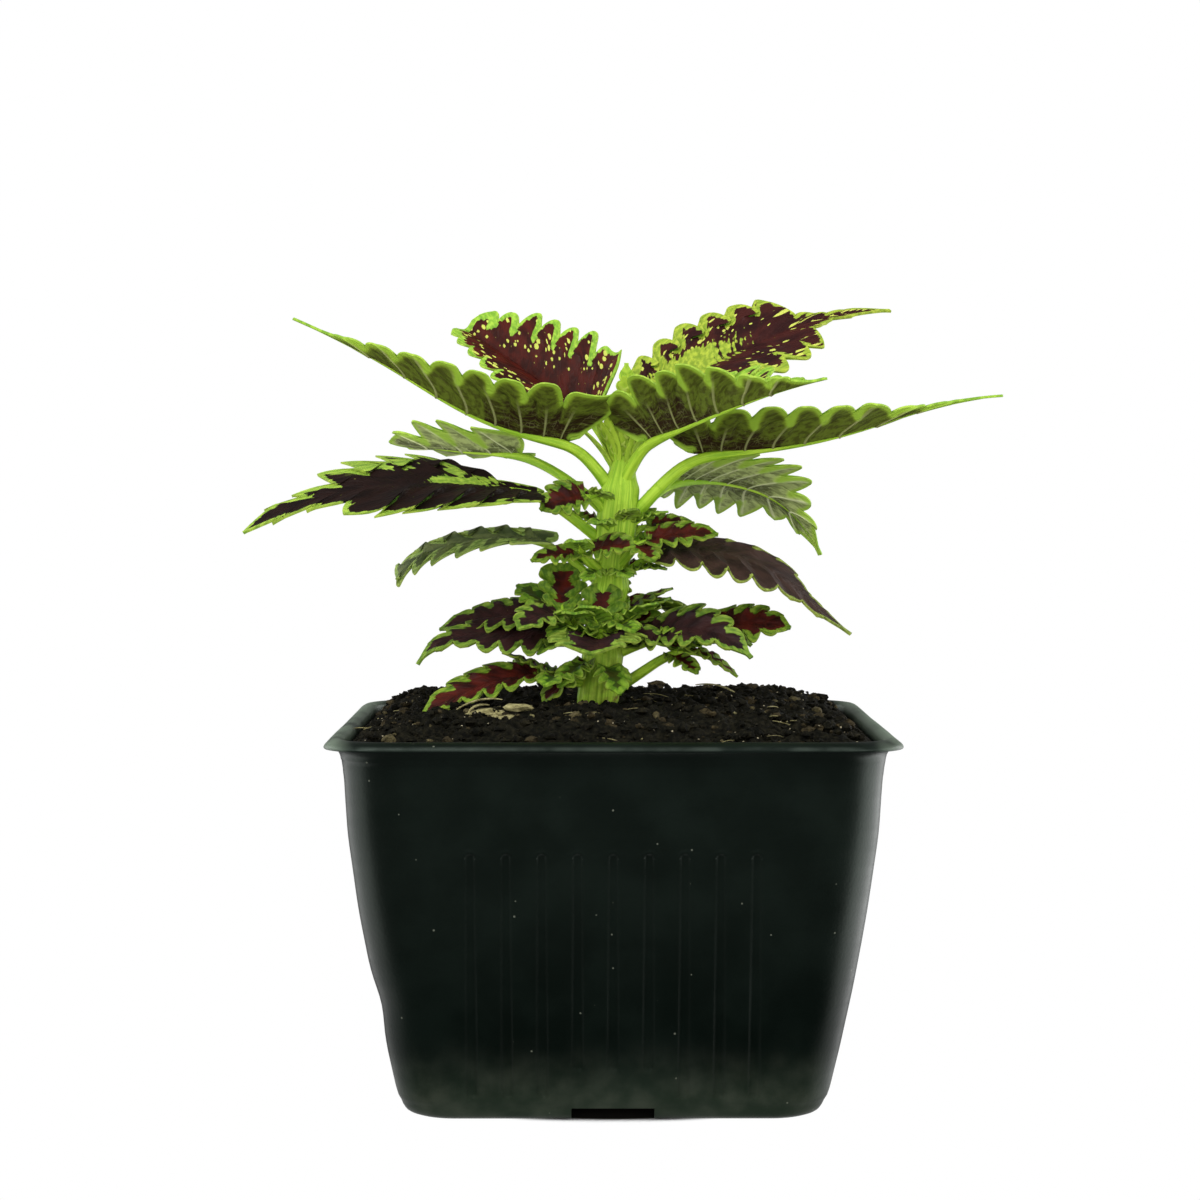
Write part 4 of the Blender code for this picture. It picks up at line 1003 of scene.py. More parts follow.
def patch_strength(leaf, share, across):
    """1 in the middle of a lime patch, 0.5 on its edge and 0 well outside."""
    strength = np.zeros_like(share)
    for middle, aside, half_length, half_breadth in leaf.patches:
        away = np.hypot((share - middle) / half_length, (across - aside) / half_breadth)
        strength = np.maximum(strength, np.clip(1 - away / 2, 0, 1))
    return strength


def grid_faces(rows, columns):
    """Quads of a grid of points, and the ring of points round its edge."""
    corner = (np.arange(rows - 1)[:, None] * columns + np.arange(columns - 1)[None, :]).ravel()
    quads = np.stack([corner, corner + 1, corner + columns + 1, corner + columns], 1)
    ring = [row * columns for row in range(rows)]
    ring += [(rows - 1) * columns + column for column in range(1, columns)]
    ring += [row * columns + columns - 1 for row in range(rows - 2, -1, -1)]
    ring += [column for column in range(columns - 2, 0, -1)]
    return quads, ring


def ring_faces(rings, count):
    """Quads between rings of points, and caps on the two ends."""
    row = np.arange(rings - 1)[:, None] * count
    corner = np.arange(count)[None, :]
    after = (corner + 1) % count
    quads = np.stack([row + corner, row + after, row + count + after, row + count + corner], -1)
    last = (rings - 1) * count
    return [*quads.reshape(-1, 4).tolist(), list(range(count))[::-1], list(range(last, last + count))]


def add_blade(piece, leaf, spine, grain, seed, number):
    """The two sides of a blade, joined round the margin."""
    random = np.random.default_rng(seed)
    halves = [half_blade(leaf, spine, grain, side, random) for side in (1, -1)]
    joined = [np.concatenate([halves[0][i][:, :0:-1], halves[1][i]], axis=1) for i in (0, 1, 3)]
    points, normals, flat = joined
    left, right = halves[0][2], halves[1][2]
    numbers = {key: np.concatenate([left[key][:, :0:-1], right[key]], axis=1) for key in left}
    flat[..., 2] = PATTERN_STEP * number
    thin = smooth(numbers["across"], 0.2, 1.0)
    half = (THICKNESS[0] * (1 - thin) + THICKNESS[1] * thin) / 2
    strength = smooth(1 - numbers["across"], 0.0, 0.8)
    valley = VALLEY[0] * np.exp(-((numbers["vein"] / VALLEY[1]) ** 2)) * strength
    ridge = RIDGE[0] * np.exp(-((numbers["vein"] / RIDGE[1]) ** 2)) * (0.25 + strength)
    scale = min(1.0, leaf.half_width / 0.012)
    top = points + (half - scale * valley)[..., None] * normals
    under = points - (half + scale * ridge)[..., None] * normals
    rows, columns = points.shape[:2]
    quads, ring = grid_faces(rows, columns)
    count = rows * columns
    closing = [(b, a, count + a, count + b) for a, b in zip(ring, ring[1:] + ring[:1])]
    faces = [tuple(quad[::-1]) for quad in quads] + [tuple(count + quad) for quad in quads] + closing
    slots = [0] * len(quads) + [1] * len(quads) + [0] * len(closing)
    both = {key: np.tile(values.ravel(), 2) for key, values in numbers.items()}
    stacked = np.concatenate([top.reshape(-1, 3), under.reshape(-1, 3)])
    piece.add(stacked, faces, slots, np.tile(flat.reshape(-1, 3), (2, 1)), **both)


def tube(points, sides, uppers, radii, corners, channel=0.0):
    """Points, faces and flat places of a capped tube. A channel runs along its upper side."""
    turn = 2 * math.pi * np.arange(corners) / corners
    shape = 1 - channel * np.clip(np.sin(turn), 0, 1) ** 6
    radii = np.asarray(radii)[:, None] * shape[None, :]
    aside, above = (radii * np.cos(turn))[..., None], (radii * np.sin(turn))[..., None]
    grid = points[:, None] + (aside * sides[:, None] + above * uppers[:, None])
    rows = len(points)
    walked = np.concatenate([[0.0], np.cumsum(np.linalg.norm(np.diff(points, axis=0), axis=1))]) / MM
    around = radii.mean() / MM * np.minimum(turn, 2 * math.pi - turn)
    flat = np.stack([np.repeat(walked, corners), np.tile(around, rows), np.zeros(rows * corners)], 1)
    return grid.reshape(-1, 3), ring_faces(rows, corners), flat


def add_stalk(piece, leaf, start, blade, grain, number, first):
    """The petiole, which runs on as the midrib under the blade."""
    stalk = petiole_spine(leaf, start)
    at = np.linspace(first, leaf.petiole, grain.stalk_rows)[:-1]
    share = np.linspace(0.0, 0.94, grain.rib_rows)
    points = np.concatenate([stalk.read(stalk.points, at), blade.read(blade.points, share * leaf.length)])
    sides = np.concatenate([stalk.read(stalk.left, at), blade.read(blade.left, share * leaf.length)])
    uppers = np.concatenate([stalk.read(stalk.upper, at), blade.read(blade.upper, share * leaf.length)])
    taper = np.interp(at / leaf.petiole, (0, 1), STALK_TAPER) + 0.35 * np.exp(-(at - first) / 0.0016)
    rib = STALK_TAPER[1] * (1 - share) ** 1.1 * (1 - 0.45 * smooth(share, 0.0, 0.25))
    radii = leaf.thick * np.concatenate([taper, np.maximum(rib, 0.10)])
    sink = np.concatenate([0 * at, 0.55 * smooth(share, 0.0, 0.10)])
    points = points - (sink * radii)[:, None] * uppers
    for _ in range(STALK_CALM):
        points[1:-1] = 0.25 * points[:-2] + 0.5 * points[1:-1] + 0.25 * points[2:]
    grid, faces, flat = tube(points, sides, uppers, radii, grain.stalk_sides, STALK_CHANNEL)
    flat[:, 2] = PATTERN_STEP * (number + 0.425)
    piece.add(grid, faces, [2] * len(faces), flat)


def shoot_spine(shoot):
    return Spine(stem_centre(shoot.foot), shoot.azimuth, shoot.turn, shoot.rise, shoot.length)


def add_small_leaf(piece, leaf, start, number, looks):
    """A small leaf with its petiole. Its faces take the materials of its look."""
    blade = blade_spine(leaf, petiole_spine(leaf, start).points[-1])
    before = len(piece.slots)
    add_blade(piece, leaf, blade, SMALL, 100 + number, number)
    add_stalk(piece, leaf, start, blade, SMALL, number, 0.0)
    if leaf.look not in looks:
        looks.append(leaf.look)
    offset = 3 * looks.index(leaf.look)
    piece.slots[before:] = [slot + offset if slot < 2 else 2 for slot in piece.slots[before:]]


def leaf_materials(looks, skins, stalk_material):
    return [material for look in looks for material in (*skins[look], stalk_material)]


def build_leaves(skins, stalk_material):
    """The ten large leaves and the eleven shoots, each in the place of its solid."""
    for number, (name, leaf) in enumerate(LARGE_LEAVES.items()):
        piece = Piece(name + "_blade")
        start = np.array(stem_centre(leaf.foot))
        blade = blade_spine(leaf, petiole_spine(leaf, start).points[-1])
        add_blade(piece, leaf, blade, FINE, 100 + number, number)
        add_stalk(piece, leaf, start, blade, FINE, number, STALK_SKIP)
        piece.make([*skins[leaf.look], stalk_material], name)
    number = len(LARGE_LEAVES)
    for name, shoot in SHOOTS.items():
        piece = Piece(name + "_leaves")
        spine = shoot_spine(shoot)
        at = np.linspace(min(0.0020, 0.4 * shoot.length), shoot.length, 14)
        share = at / shoot.length
        radii = shoot.thick * (np.interp(share, (0, 1), SHOOT_TAPER) + 0.3 * np.exp(-(at - at[0]) / 0.0014))
        points, sides, uppers = (spine.read(values, at) for values in (spine.points, spine.left, spine.upper))
        grid, faces, flat = tube(points, sides, uppers, radii, 14)
        flat[:, 2] = PATTERN_STEP * number
        piece.add(grid, faces, [2] * len(faces), flat)
        looks = []
        for leaf in shoot.leaves:
            number += 1
            add_small_leaf(piece, leaf, spine.read(spine.points, leaf.foot * shoot.length), number, looks)
        piece.make(leaf_materials(looks, skins, stalk_material), name)
    for name, growth in YOUNG_GROWTH.items():
        piece = Piece(name)
        looks = []
        for parent, leaf in growth:
            number += 1
            if parent:
                spine = shoot_spine(SHOOTS[parent])
                start = spine.read(spine.points, leaf.foot * SHOOTS[parent].length)
            else:
                start = np.array(stem_centre(leaf.foot))
            add_small_leaf(piece, leaf, start, number, looks)
        piece.make(leaf_materials(looks, skins, stalk_material), None)


def build_stem(material):
    """The square fleshy main stem, with ribbed sides and a line where each pair of leaves joins."""
    heights = np.linspace(STEM_RADII[0][0], STEM_RADII[-1][0], STEM_ROWS)
    halves = np.interp(heights, *zip(*STEM_RADII))
    for node in STEM_NODES:
        halves = halves + STEM_RING[0] * np.exp(-(((heights - node) / STEM_RING[1]) ** 2))
    turn = 2 * math.pi * np.arange(STEM_CORNERS) / STEM_CORNERS
    power = STEM_SQUARENESS
    square = 1 / (np.abs(np.cos(turn)) ** power + np.abs(np.sin(turn)) ** power) ** (1 / power)
    square = square * (1 - 0.030 * np.cos(4 * turn) ** 8 + 0.012 * np.cos(20 * turn))
    middle = np.array([stem_centre(height) for height in heights])
    reach = halves[:, None] * square
    x, y = middle[:, :1] + reach * np.cos(turn), middle[:, 1:2] + reach * np.sin(turn)
    points = np.stack([x, y, heights[:, None] + 0 * x], -1).reshape(-1, 3)
    faces = ring_faces(STEM_ROWS, STEM_CORNERS)
    around = 5.0 * np.minimum(turn, 2 * math.pi - turn)
    flat = np.stack([points[:, 2] / MM, np.tile(around, STEM_ROWS), np.zeros(len(points))], 1)
    right = np.tile(np.clip(np.cos(turn) * 1.4, 0, 1), STEM_ROWS)
    low = np.repeat(smooth(heights, 0.101, 0.086), STEM_CORNERS)
    piece = Piece("main_stem_flesh")
    piece.add(points, faces, [0] * len(faces), flat, foot=low * (0.25 + 0.75 * right))
    return piece.make([material], "main_stem")


def wall_at(height):
    """Half width and corner radius of the pot's outer wall, as a smooth curve through its profile."""
    heights, halves, corners = zip(*WALL_PROFILE)
    height = np.asarray(height, float)
    spread = np.minimum(0.003, np.minimum(height, heights[-1] - height))
    steps = [height + spread * offset for offset in np.linspace(-1.0, 1.0, 9)]
    half = np.mean([np.interp(step, heights, halves) for step in steps], axis=0)
    corner = np.mean([np.interp(step, heights, corners) for step in steps], axis=0)
    return half, corner


def rounded_path(points, times):
    """A line of points with its corners cut this many times. Its two ends stay."""
    points = np.array(points)
    for _ in range(times):
        near, far = points[:-1], points[1:]
        cut = np.stack([0.75 * near + 0.25 * far, 0.25 * near + 0.75 * far], 1).reshape(-1, points.shape[1])
        points = np.vstack([points[:1], cut, points[-1:]])
    return points


def side_places():
    """Places across a side that catch the shape of each groove."""
    places = []
    for groove in range(GROOVES):
        middle = (groove - (GROOVES - 1) / 2) * GROOVE_PITCH
        places += [middle + offset * MM for offset in GROOVE_STATIONS]
        if groove < GROOVES - 1:
            places.append(middle + GROOVE_PITCH / 2)
    return np.array(places)


def pot_ring(half, corner, height):
    """One ring of the pot: its points, their outward directions and their places across a side."""
    inner = side_places()
    reach = half - corner
    strip = np.linspace(inner[-1], reach, EDGE_PARTS + 1)[1:]
    across = np.concatenate([-strip[::-1], inner, strip])
    bend = math.pi / 2 * np.arange(1, CORNER_PARTS) / CORNER_PARTS
    points, outward, places = [], [], []
    for x, y in POT_SIDES:
        out, way = np.array([x, y, 0.0]), np.array([-y, x, 0.0])
        points.append(half * out + across[:, None] * way)
        outward.append(np.repeat(out[None, :], len(across), axis=0))
        round_corner = np.cos(bend)[:, None] * out + np.sin(bend)[:, None] * way
        points.append(reach * (out + way) + corner * round_corner)
        outward.append(round_corner)
        places += [across, np.full(len(bend), 1.0)]
    points = np.concatenate(points)
    points[:, 2] = height
    return points, np.concatenate(outward), np.concatenate(places)


def groove_depth(places, height):
    """How deep the grooves are at these places across a side, with a low lip round their tops."""
    depth = np.zeros_like(places)
    for groove in range(GROOVES):
        number = groove - (GROOVES - 1) // 2
        foot = NOTCHED_GROOVE_FOOT if abs(number) <= 1 else GROOVE_FOOT
        share = min(1.0, max(0.0, (height - foot) / (GROOVE_TOP - foot)))
        half = (GROOVE_WIDTH[0] + (GROOVE_WIDTH[1] - GROOVE_WIDTH[0]) * share) / 2
        deep = GROOVE_DEPTH[0] + (GROOVE_DEPTH[1] - GROOVE_DEPTH[0]) * share
        beyond = max(0.0, height - (GROOVE_TOP - half)) + max(0.0, foot + half - height)
        away = np.hypot(places - number * GROOVE_PITCH, beyond)
        depth += deep * smooth(1.20 * half - away, 0.0, 0.65 * half)
        at_top = float(smooth(height, GROOVE_TOP - 0.0035, GROOVE_TOP - 0.0010))
        depth -= GROOVE_LIP * at_top * np.exp(-(((away - 1.35 * half) / 0.0004) ** 2))
    return depth


def dent_depth(points):
    """How far soft dents and slow waves push the wall in."""
    depth = np.zeros(len(points))
    for side, place, level, wide, tall, deep in DENTS:
        x, y = POT_SIDES[side]
        half, _ = wall_at(level)
        middle = (half * x - place * y, half * y + place * x)
        away = np.hypot(points[:, 0] - middle[0], points[:, 1] - middle[1]) / wide
        depth += deep * np.exp(-(away**2) - ((points[:, 2] - level) / tall) ** 2)
    for in_a_metre, deep in WALL_WAVES:
        depth = depth + deep * np.array([noise.noise(Vector(point) * in_a_metre) for point in points])
    return depth


def cut_out(thing, cutters):
    """Cuts closed meshes out of an object and removes them."""
    for cutter in cutters:
        modifier = thing.modifiers.new("cut", "BOOLEAN")
        modifier.operation = "DIFFERENCE"
        modifier.solver = "EXACT"
        modifier.object = cutter
    evaluated = thing.evaluated_get(bpy.context.evaluated_depsgraph_get())
    mesh = bpy.data.meshes.new_from_object(evaluated)
    thing.modifiers.clear()
    old, thing.data = thing.data, mesh
    bpy.data.meshes.remove(old)
    for cutter in cutters:
        bpy.data.objects.remove(cutter)


def plain_object(name, points, faces):
    mesh = bpy.data.meshes.new(name)
    mesh.from_pydata([tuple(map(float, point)) for point in points], [], faces)
    thing = bpy.data.objects.new(name, mesh)
    bpy.context.scene.collection.objects.link(thing)
    return thing


def pot_cutters():
    """A notch under the middle of each side of the base, and a drain hole in its roof."""
    cutters = []
    outer, half = WALL_PROFILE[3][1] + WALL, NOTCH_WIDTH / 2
    turn = 2 * math.pi * np.arange(DRAIN_SIDES) / DRAIN_SIDES
    for x, y in POT_SIDES:
        out, way = np.array([x, y, 0.0]), np.array([-y, x, 0.0])
        ring = [NOTCH_INNER * out - half * way, outer * out - half * way]
        ring += [outer * out + half * way, NOTCH_INNER * out + half * way]
        notch = [point + (0, 0, height) for height in (-WALL, NOTCH_HEIGHT) for point in ring]
        cutters.append(plain_object("notch", notch, ring_faces(2, 4)))
        middle = DRAIN_REACH * out
        hole = [
            (middle[0] + DRAIN_HOLE * math.cos(angle), middle[1] + DRAIN_HOLE * math.sin(angle), height)
            for height in (-WALL, FLOOR_TOP + WALL)
            for angle in turn
        ]
        cutters.append(plain_object("drain", hole, ring_faces(2, DRAIN_SIDES)))
    return cutters


def pot_rows():
    """Heights of the rings of the outer wall, close together where the grooves and notches end."""
    return np.unique(np.round(np.concatenate([np.linspace(*run) for run in WALL_RUNS]), 6))


def build_pot(material):
    """The thin pot: bowed and dented sides with grooves, a rounded flange, and notches and holes for water."""
    rings = []
    for height in pot_rows():
        half, corner = wall_at(height)
        points, outward, places = pot_ring(float(half), float(corner), height)
        stands_out = 0.0
        for level, far in RINGS_UNDER_RIM:
            stands_out += far * math.exp(-(((height - level) / RING_TALL) ** 2))
        calm = float(smooth(height, 0.0, 0.004))
        depth = groove_depth(places, height) + calm * dent_depth(points) - stands_out
        rings.append(points - depth[:, None] * outward)
    top = [(height, *(float(value) for value in wall_at(height))) for height in RIM_START]
    rim = rounded_path([*top, *RIM_PROFILE, *MOUTH_PROFILE], 2)
    for height, half, corner in rim[1:]:
        points, outward, _ = pot_ring(half, corner, height)
        rings.append(points - 0.6 * dent_depth(points)[:, None] * outward)
    for height in np.linspace(INNER_TOP, FLOOR_TOP, INNER_RINGS):
        half, corner = wall_at(height)
        rings.append(pot_ring(float(half) - WALL, float(corner) - WALL, height)[0])
    pot = plain_object("pot_shell", np.concatenate(rings), ring_faces(len(rings), len(rings[0])))
    cut_out(pot, pot_cutters())
    pot.data.materials.clear()
    pot.data.materials.append(material)
    pot.data.shade_smooth()
    pot.data.set_sharp_from_angle(angle=math.radians(50))
    return settle(pot, "pot")


def pot_plastic():
    """Dark green-black plastic with a satin face, dust, specks, a foot made paler by dust and a painted
    reflection of the floor, and painted highlights on the flange.
    """
    paint = Paint("dark_plastic")
    where = paint.place()
    height = where.axis(2)
    mottle = paint.noise(where, 70.0, 4.0)
    wiped = paint.noise(where.stretch((40.0, 40.0, 420.0)), 1.0, 3.0)
    colour = paint.mix(mottle.fade(0.35, 0.68), (3, 7, 5), (6, 12, 9))
    # Paler towards the foot: partly dust, partly a painted reflection of the bright floor.
    colour = paint.mix(height.fade(0.017, 0.001) * 0.30, colour, (40, 52, 38))
    # Painted highlight: a paler patch on the flange at the left and right sides.
    aside = paint.math("ABSOLUTE", where.axis(0))
    lit = aside.fade(0.0530, 0.0590) * height.fade(0.0785, 0.0800)
    colour = paint.mix(lit * mottle.fade(0.25, 0.60), colour, (86, 97, 84))
    # Painted highlight: a thin pale line along the flange's crest, broken up by noise.
    line = height.fade(0.0793, 0.0797) * height.fade(0.0805, 0.0800)
    line = line * paint.noise(where, 120.0, 3.0).fade(0.35, 0.65)
    colour = paint.mix(line * 0.14, colour, (92, 104, 94))
    dust = height.fade(0.020, 0.002) * paint.noise(where, 150.0, 4.0).fade(0.30, 0.80)
    colour = paint.mix(dust * 0.13, colour, (96, 98, 86))
    speck = paint.specks(where, 300.0, (0.085, 0.05), (0.70, 0.72))
    colour = paint.mix(speck * 0.28, colour, (130, 134, 118))
    normal = paint.bump(paint.noise(where, 1500.0, 3.0) + wiped * 0.8, 0.00003)
    return paint.finish(
        Base_Color=colour, Roughness=(mottle + wiped) * 0.12 + 0.26, Normal=normal,
        Specular_IOR_Level=height.fade(0.014, 0.058) * 0.24 + 0.06, Specular_Tint=(0.82, 1.0, 0.86, 1.0),
    )


def round_off(across, along, corner_share):
    """Moves points of a square grid, from -1 to 1, onto a square with rounded corners."""
    ring = np.maximum(np.abs(across), np.abs(along))
    safe = np.maximum(ring, 1e-9)
    u, v = np.abs(across) / safe, np.abs(along) / safe
    straight = 1 - corner_share
    in_corner = (u > straight) & (v > straight)
    path = np.where(u >= v, (v - straight) / (2 * corner_share), 1 - (u - straight) / (2 * corner_share))
    bend = math.pi / 2 * np.clip(path, 0, 1)
    x = np.where(in_corner, straight + corner_share * np.cos(bend), u)
    y = np.where(in_corner, straight + corner_share * np.sin(bend), v)
    return np.sign(across) * ring * x, np.sign(along) * ring * y, ring


def soil_top(x, y, reach):
    """Height of the crumbly surface. Reach is 0 in the middle and 1 at the wall."""
    dome = SOIL_EDGE + (SOIL_CROWN - SOIL_EDGE) * (1 - reach**6)
    dome = dome + SOIL_HEAP * smooth(y, 0.005, 0.040) * smooth(reach, 1.0, 0.90)
    spots = [Vector((float(a), float(b), 0.0)) for a, b in zip(np.ravel(x), np.ravel(y))]
    broad = np.array([noise.noise(spot * SOIL_SCALES[0]) for spot in spots])
    crumbs = np.array([noise.turbulence(spot * SOIL_SCALES[1], 3, False) for spot in spots])
    grit = np.array([noise.noise(spot * SOIL_SCALES[2]) for spot in spots])
    calm = np.minimum(1.0, 4.0 * (1 - reach) + 0.3)
    lumps = SOIL_LUMPS[0] * broad + SOIL_LUMPS[1] * (crumbs - 0.55) + SOIL_LUMPS[2] * grit
    return dome + calm * lumps.reshape(np.shape(x))


def build_soil(material):
    """The soil: a rough top that fills the pot, its sides along the wall, and its bottom."""
    half, corner = (float(value) for value in wall_at(SOIL_LEVEL))
    half, corner = half - WALL - GAP, corner - WALL - GAP
    line = np.linspace(-1.0, 1.0, SOIL_GRID)
    across, along = np.meshgrid(line, line)
    x, y, reach = round_off(across, along, corner / half)
    points = np.stack([x * half, y * half, soil_top(x * half, y * half, reach)], -1)
    grid = points.reshape(-1, 3)
    quads, ring = grid_faces(SOIL_GRID, SOIL_GRID)
    levels = np.linspace(SOIL_SKIRT, SOIL_BOTTOM, 9)
    skirt = []
    edge = points.reshape(-1, 3)[ring]
    for level in levels:
        wall_half, _ = wall_at(level)
        scale = (float(wall_half) - WALL - GAP) / half
        skirt.append(np.stack([edge[:, 0] * scale, edge[:, 1] * scale, np.full(len(ring), level)], 1))
    count, total = len(ring), len(grid)
    faces = [tuple(quad) for quad in quads]
    rows = [ring, *(total + np.arange(count * len(levels)).reshape(-1, count)).tolist()]
    for upper, lower in zip(rows[:-1], rows[1:]):
        for spot in range(count):
            after = (spot + 1) % count
            faces.append((upper[spot], upper[after], lower[after], lower[spot]))
    faces.append(tuple(rows[-1]))
    everything = np.concatenate([grid, *skirt])
    piece = Piece("soil_bed")
    piece.add(everything, faces, [0] * len(faces), everything / MM)
    return piece.make([material], "soil", sharp=80)


def unit_lump():
    shape = bmesh.new()
    bmesh.ops.create_icosphere(shape, subdivisions=2, radius=1.0)
    points = np.array([vertex.co[:] for vertex in shape.verts])
    faces = [[vertex.index for vertex in face.verts] for face in shape.faces]
    shape.free()
    return points, faces


def soil_spot(random):
    """A random place on the soil, clear of the stem, and its share of the way to the wall."""
    half = float(wall_at(SOIL_LEVEL)[0]) - WALL - GAP
    while True:
        x, y = random.uniform(-0.96, 0.96, 2)
        within_corner = math.hypot(max(0.0, abs(x) - 0.8), max(0.0, abs(y) - 0.8)) < 0.16
        if within_corner and math.hypot(x * half - STEM_FOOT.x, y * half) > STEM_CLEAR:
            return x * half, y * half, max(abs(x), abs(y))


def wall_share(x, y):
    """How far a place is on its way from the middle of the soil to the wall."""
    return max(abs(x), abs(y)) / SOIL_REACH


def add_lump(piece, unit, place, size, spin, tint, random, rough=0.34):
    """An angular crumb. Size gives its three half axes, spin its turn about the vertical."""
    points, faces = unit
    uneven = 1 + random.uniform(-rough, rough, len(points))
    shaped = points * uneven[:, None] * np.asarray(size)
    cosine, sine = math.cos(spin), math.sin(spin)
    x, y, z = shaped.T
    whole = np.stack([x * cosine - y * sine, x * sine + y * cosine, z], 1) + np.asarray(place)
    piece.add(whole, faces, [0] * len(faces), whole / MM, tint=tint)


def build_crumbs(material):
    """Loose crumbs, bits of bark and pale grains that lie half sunk in the soil."""
    random = np.random.default_rng(31)
    unit = unit_lump()
    piece = Piece("soil_crumbs")
    spots = [soil_spot(random) for _ in range(CRUMBS)]
    heights = soil_top(*(np.array([spot[axis] for spot in spots]) for axis in range(3)))
    for (x, y, _), height in zip(spots, heights):
        size = CRUMB_SIZE[0] + CRUMB_SIZE[1] * random.random() ** 2.2
        flatness = random.uniform(0.55, 0.95)
        tint = random.choice(CRUMB_TINTS[0], p=CRUMB_TINTS[1])
        shape = (size * random.uniform(0.8, 1.4), size, size * flatness)
        add_lump(piece, unit, (x, y, height + 0.15 * size), shape, random.uniform(0, math.pi), tint, random)
    for x, y, long, broad, tall, spin, tint in BARK:
        height = float(soil_top(*np.array([[x], [y], [wall_share(x, y)]]))[0])
        add_lump(piece, unit, (x, y, height + 0.3 * tall), (long, broad, tall), spin, tint, random, 0.30)
    return piece.make([material], None, sharp=50)


def build_fibres(material):
    """Thin tan fibres and rootlets on the soil."""
    random = np.random.default_rng(17)
    piece = Piece("soil_fibres")
    starts = [soil_spot(random) for _ in range(FIBRES)]
    starts += [(x, y, wall_share(x, y)) for x, y, *_ in LONG_FIBRES]
    heights = soil_top(*(np.array([start[axis] for start in starts]) for axis in range(3)))
    for number, ((x, y, _), height) in enumerate(zip(starts, heights)):
        if number < FIBRES:
            heading, rise = random.uniform(0, 360), (random.uniform(-5, 22), random.uniform(-30, 5))
            length, radius = random.uniform(0.003, 0.008), random.uniform(0.00006, 0.00014)
        else:
            _, _, heading, length, radius = LONG_FIBRES[number - FIBRES]
            rise = (35, -10)
        curve = Spine((x, y, height + 0.0002), heading, random.uniform(-80, 80), rise, length)
        at = np.linspace(0.0, length, 10)
        points, sides, uppers = (curve.read(values, at) for values in (curve.points, curve.left, curve.upper))
        radii = radius * (1 - 0.5 * np.abs(np.linspace(-1, 1, 10)) ** 3)
        grid, faces, flat = tube(points, sides, uppers, radii, 6)
        piece.add(grid, faces, [0] * len(faces), flat, tint=random.uniform(0.7, 1.0))
    return piece.make([material], None, sharp=70)


def soil_paint():
    """Near-black potting mix. The tint stored on a crumb or a fibre makes it brown, then tan."""
    paint = Paint("potting_mix")
    where = paint.place()
    tint = paint.value("tint")
    grain = paint.noise(where, 900.0, 5.0, 0.65)
    patches = paint.noise(where, 160.0, 3.0)
    dark = paint.mix(grain.fade(0.40, 0.72), (4, 4, 2), (24, 22, 12))
    dark = paint.mix(patches.fade(0.55, 0.75) * 0.4, dark, (30, 27, 16))
    brown = paint.mix(grain.fade(0.35, 0.7), (32, 27, 15), (66, 57, 36))
    tan = paint.mix(grain.fade(0.3, 0.7), (86, 80, 50), (146, 140, 98))
    colour = paint.mix(tint.fade(0.1, 0.5), dark, brown)
    colour = paint.mix(tint.fade(0.5, 0.95), colour, tan)
    speck = paint.specks(where, 1300.0, (0.30, 0.18), (0.965, 0.975))
    colour = paint.mix(speck * 0.8, colour, (170, 160, 132))
    gloss, normal = grain * 0.25 + 0.68, paint.bump(grain, 0.0005)
    return paint.finish(Base_Color=colour, Roughness=gloss, Normal=normal, Specular_IOR_Level=0.10)


def make_camera():
    """The photograph's view: level with the leaves, 65 cm in front of the pot, looking slightly down."""
    camera = bpy.data.objects.new("camera", bpy.data.cameras.new("camera"))
    camera.data.sensor_width = SENSOR_WIDTH
    camera.data.lens = CAMERA_LENS
    camera.data.clip_start = CLIP_START
    camera.data.clip_end = CLIP_END
    pitch, yaw = math.radians(CAMERA_PITCH), math.radians(CAMERA_YAW)
    forward = Vector((math.sin(yaw) * math.cos(pitch), math.cos(yaw) * math.cos(pitch), -math.sin(pitch)))
    camera.location = CAMERA_PLACE
    camera.rotation_mode = "QUATERNION"
    camera.rotation_quaternion = forward.to_track_quat("-Z", "Y")
    bpy.context.scene.collection.objects.link(camera)
    bpy.context.scene.camera = camera


def area_light(name, place, size, power, mirrored):
    """A soft light that faces the plant. Mirrored says whether glossy surfaces show it."""
    light = bpy.data.lights.new(name, "AREA")
    light.shape = "RECTANGLE"
    light.size, light.size_y = size
    light.energy = power
    thing = bpy.data.objects.new(name, light)
    thing.visible_glossy = mirrored
    thing.location = place
    thing.rotation_mode = "QUATERNION"
    thing.rotation_quaternion = (LIT_PLACE - thing.location).to_track_quat("-Z", "Y")
    bpy.context.scene.collection.objects.link(thing)


def glowing(name, strength):
    """A white material that only gives off light."""
    paint = Paint(name)
    paint.surface(paint.node("Emission", WHITE, strength))
    return paint.material


def floor_paint():
    """White that turns into plain glow away from the pot, with a painted shadow that darkens it right under
    the pot.
    """
    paint = Paint("white_floor")
    where = paint.place()
    away = paint.wire(paint.node("VectorMath", where, operation="LENGTH"), "Value")
    tone = paint.mix(paint.noise(where, 30.0, 4.0), (240, 240, 240), (243, 243, 243))
    # Painted contact shadow: the floor turns dark right under the pot, where it shows through the notches.
    tone = paint.mix(away.fade(*PAINTED_SHADOW_UNDER_POT), tone, (44, 42, 38))
    material = paint.finish(Base_Color=tone, Roughness=0.85, Specular_IOR_Level=0.1)
    glow = paint.wire(paint.node("Emission", WHITE, 1.0))
    paint.surface(paint.node("MixShader", away.fade(*FLOOR_GLOW), paint.wire(paint.shader), glow))
    return material


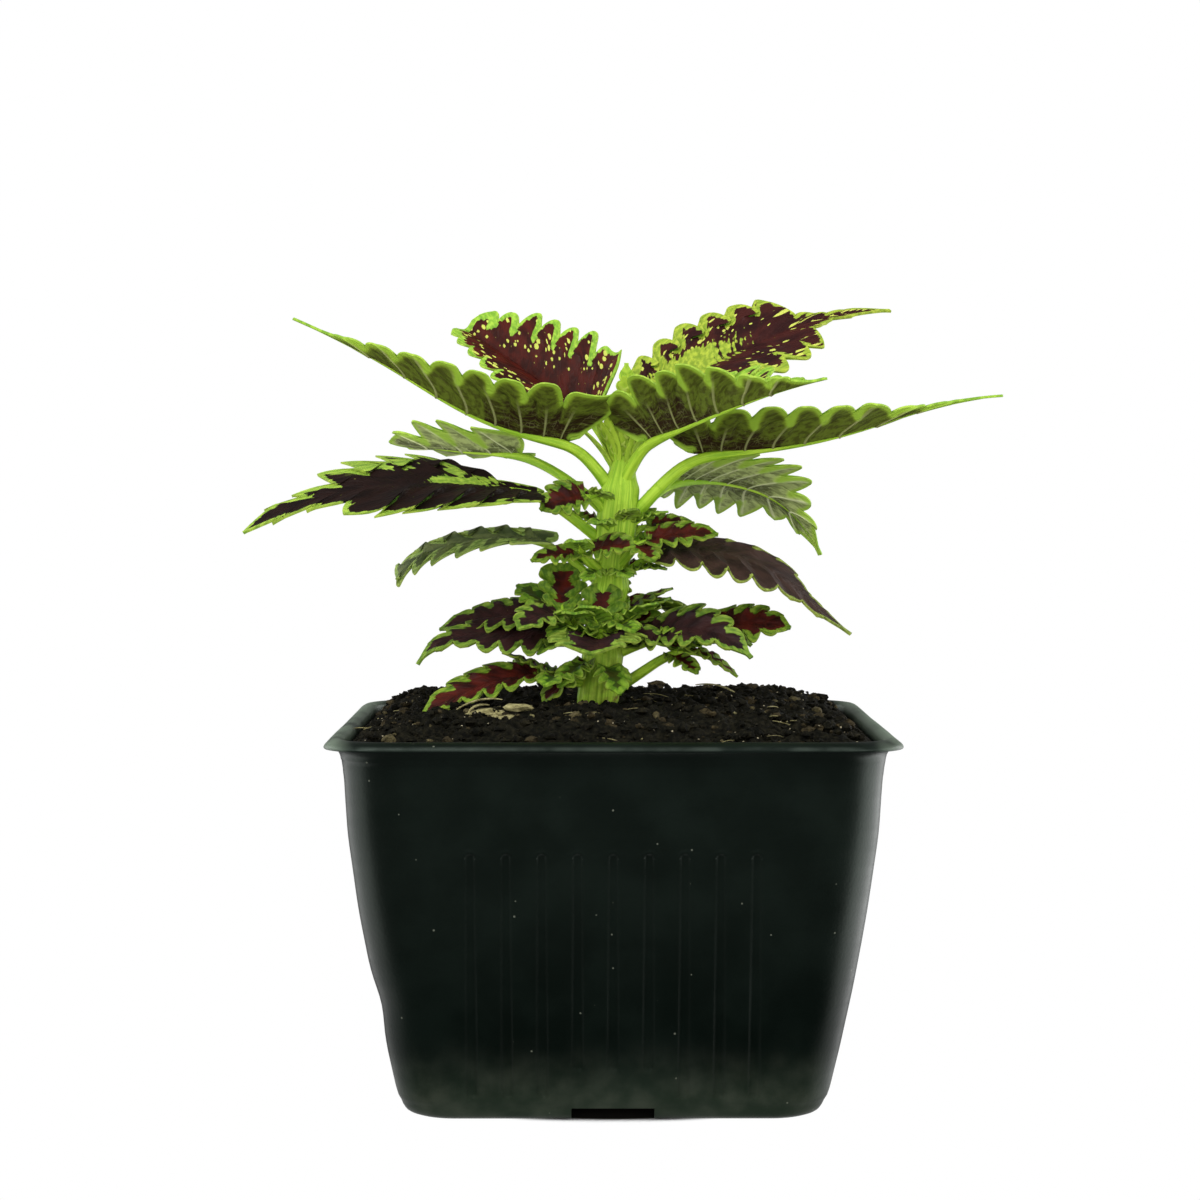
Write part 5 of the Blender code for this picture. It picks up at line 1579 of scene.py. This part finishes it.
def make_floor():
    """A disc that the pot's sheen picks up, and a wide ring round it that no glossy surface shows."""
    turn = 2 * math.pi * np.arange(ROUND_PARTS) / ROUND_PARTS
    circle = np.stack([np.cos(turn), np.sin(turn), 0 * turn], 1)
    near = plain_object("floor_near", NEAR_FLOOR * circle, [list(range(ROUND_PARTS))])
    ring = ring_faces(2, ROUND_PARTS)[:ROUND_PARTS]
    far = plain_object("floor_far", np.concatenate([NEAR_FLOOR * circle, STUDIO_REACH * circle]), ring)
    far.visible_glossy = False
    material = floor_paint()
    for floor in (near, far):
        floor.location.z = FLOOR_LEVEL
        floor.data.materials.append(material)


def make_backdrop():
    """A white wall all round."""
    mesh = bpy.data.meshes.new("backdrop")
    shape = bmesh.new()
    radii = {"radius1": STUDIO_REACH, "radius2": STUDIO_REACH}
    bmesh.ops.create_cone(shape, cap_ends=False, segments=ROUND_PARTS, depth=WALL_TALL, **radii)
    shape.to_mesh(mesh)
    shape.free()
    mesh.materials.append(glowing("white_backdrop", 1.0))
    backdrop = bpy.data.objects.new("backdrop", mesh)
    backdrop.location.z = WALL_TALL / 2 - 0.01
    backdrop.visible_glossy = False
    bpy.context.scene.collection.objects.link(backdrop)


def make_panel(name, x, strength):
    """A bright panel beside the pot that only glossy surfaces show."""
    (front, back), (low, high) = PANEL_RUN, PANEL_HEIGHTS
    corners = [(x, front, low), (x, back, low), (x, back, high), (x, front, high)]
    panel = plain_object(name, corners, [[0, 1, 2, 3]])
    panel.data.materials.append(glowing(name, strength))
    panel.visible_camera = False
    panel.visible_diffuse = False
    panel.visible_transmission = False
    panel.visible_shadow = False


def make_stage():
    """A white floor that runs out into white all round, and soft lights above and beside the plant."""
    scene = bpy.context.scene
    scene.view_settings.view_transform = "Standard"
    world = bpy.data.worlds.new("studio")
    world.use_nodes = True
    background = world.node_tree.nodes["Background"]
    background.inputs["Color"].default_value = WHITE
    background.inputs["Strength"].default_value = WORLD_STRENGTH
    scene.world = world
    make_floor()
    make_backdrop()
    for panel in PANELS:
        make_panel(*panel)
    for light in LIGHTS:
        area_light(*light)


def main():
    build_pot(pot_plastic())
    soil = soil_paint()
    build_soil(soil)
    build_crumbs(soil)
    build_fibres(soil)
    skins = {}
    for key, look in LOOKS.items():
        skins[key] = (upper_side(key + "_upper", look), under_side(key + "_under", look))
    stalk = stalk_side("fleshy_stalk", (176, 210, 62), (130, 174, 36), (100, 80, 34))
    build_leaves(skins, stalk)
    build_stem(stalk)
    make_camera()
    make_stage()


main()
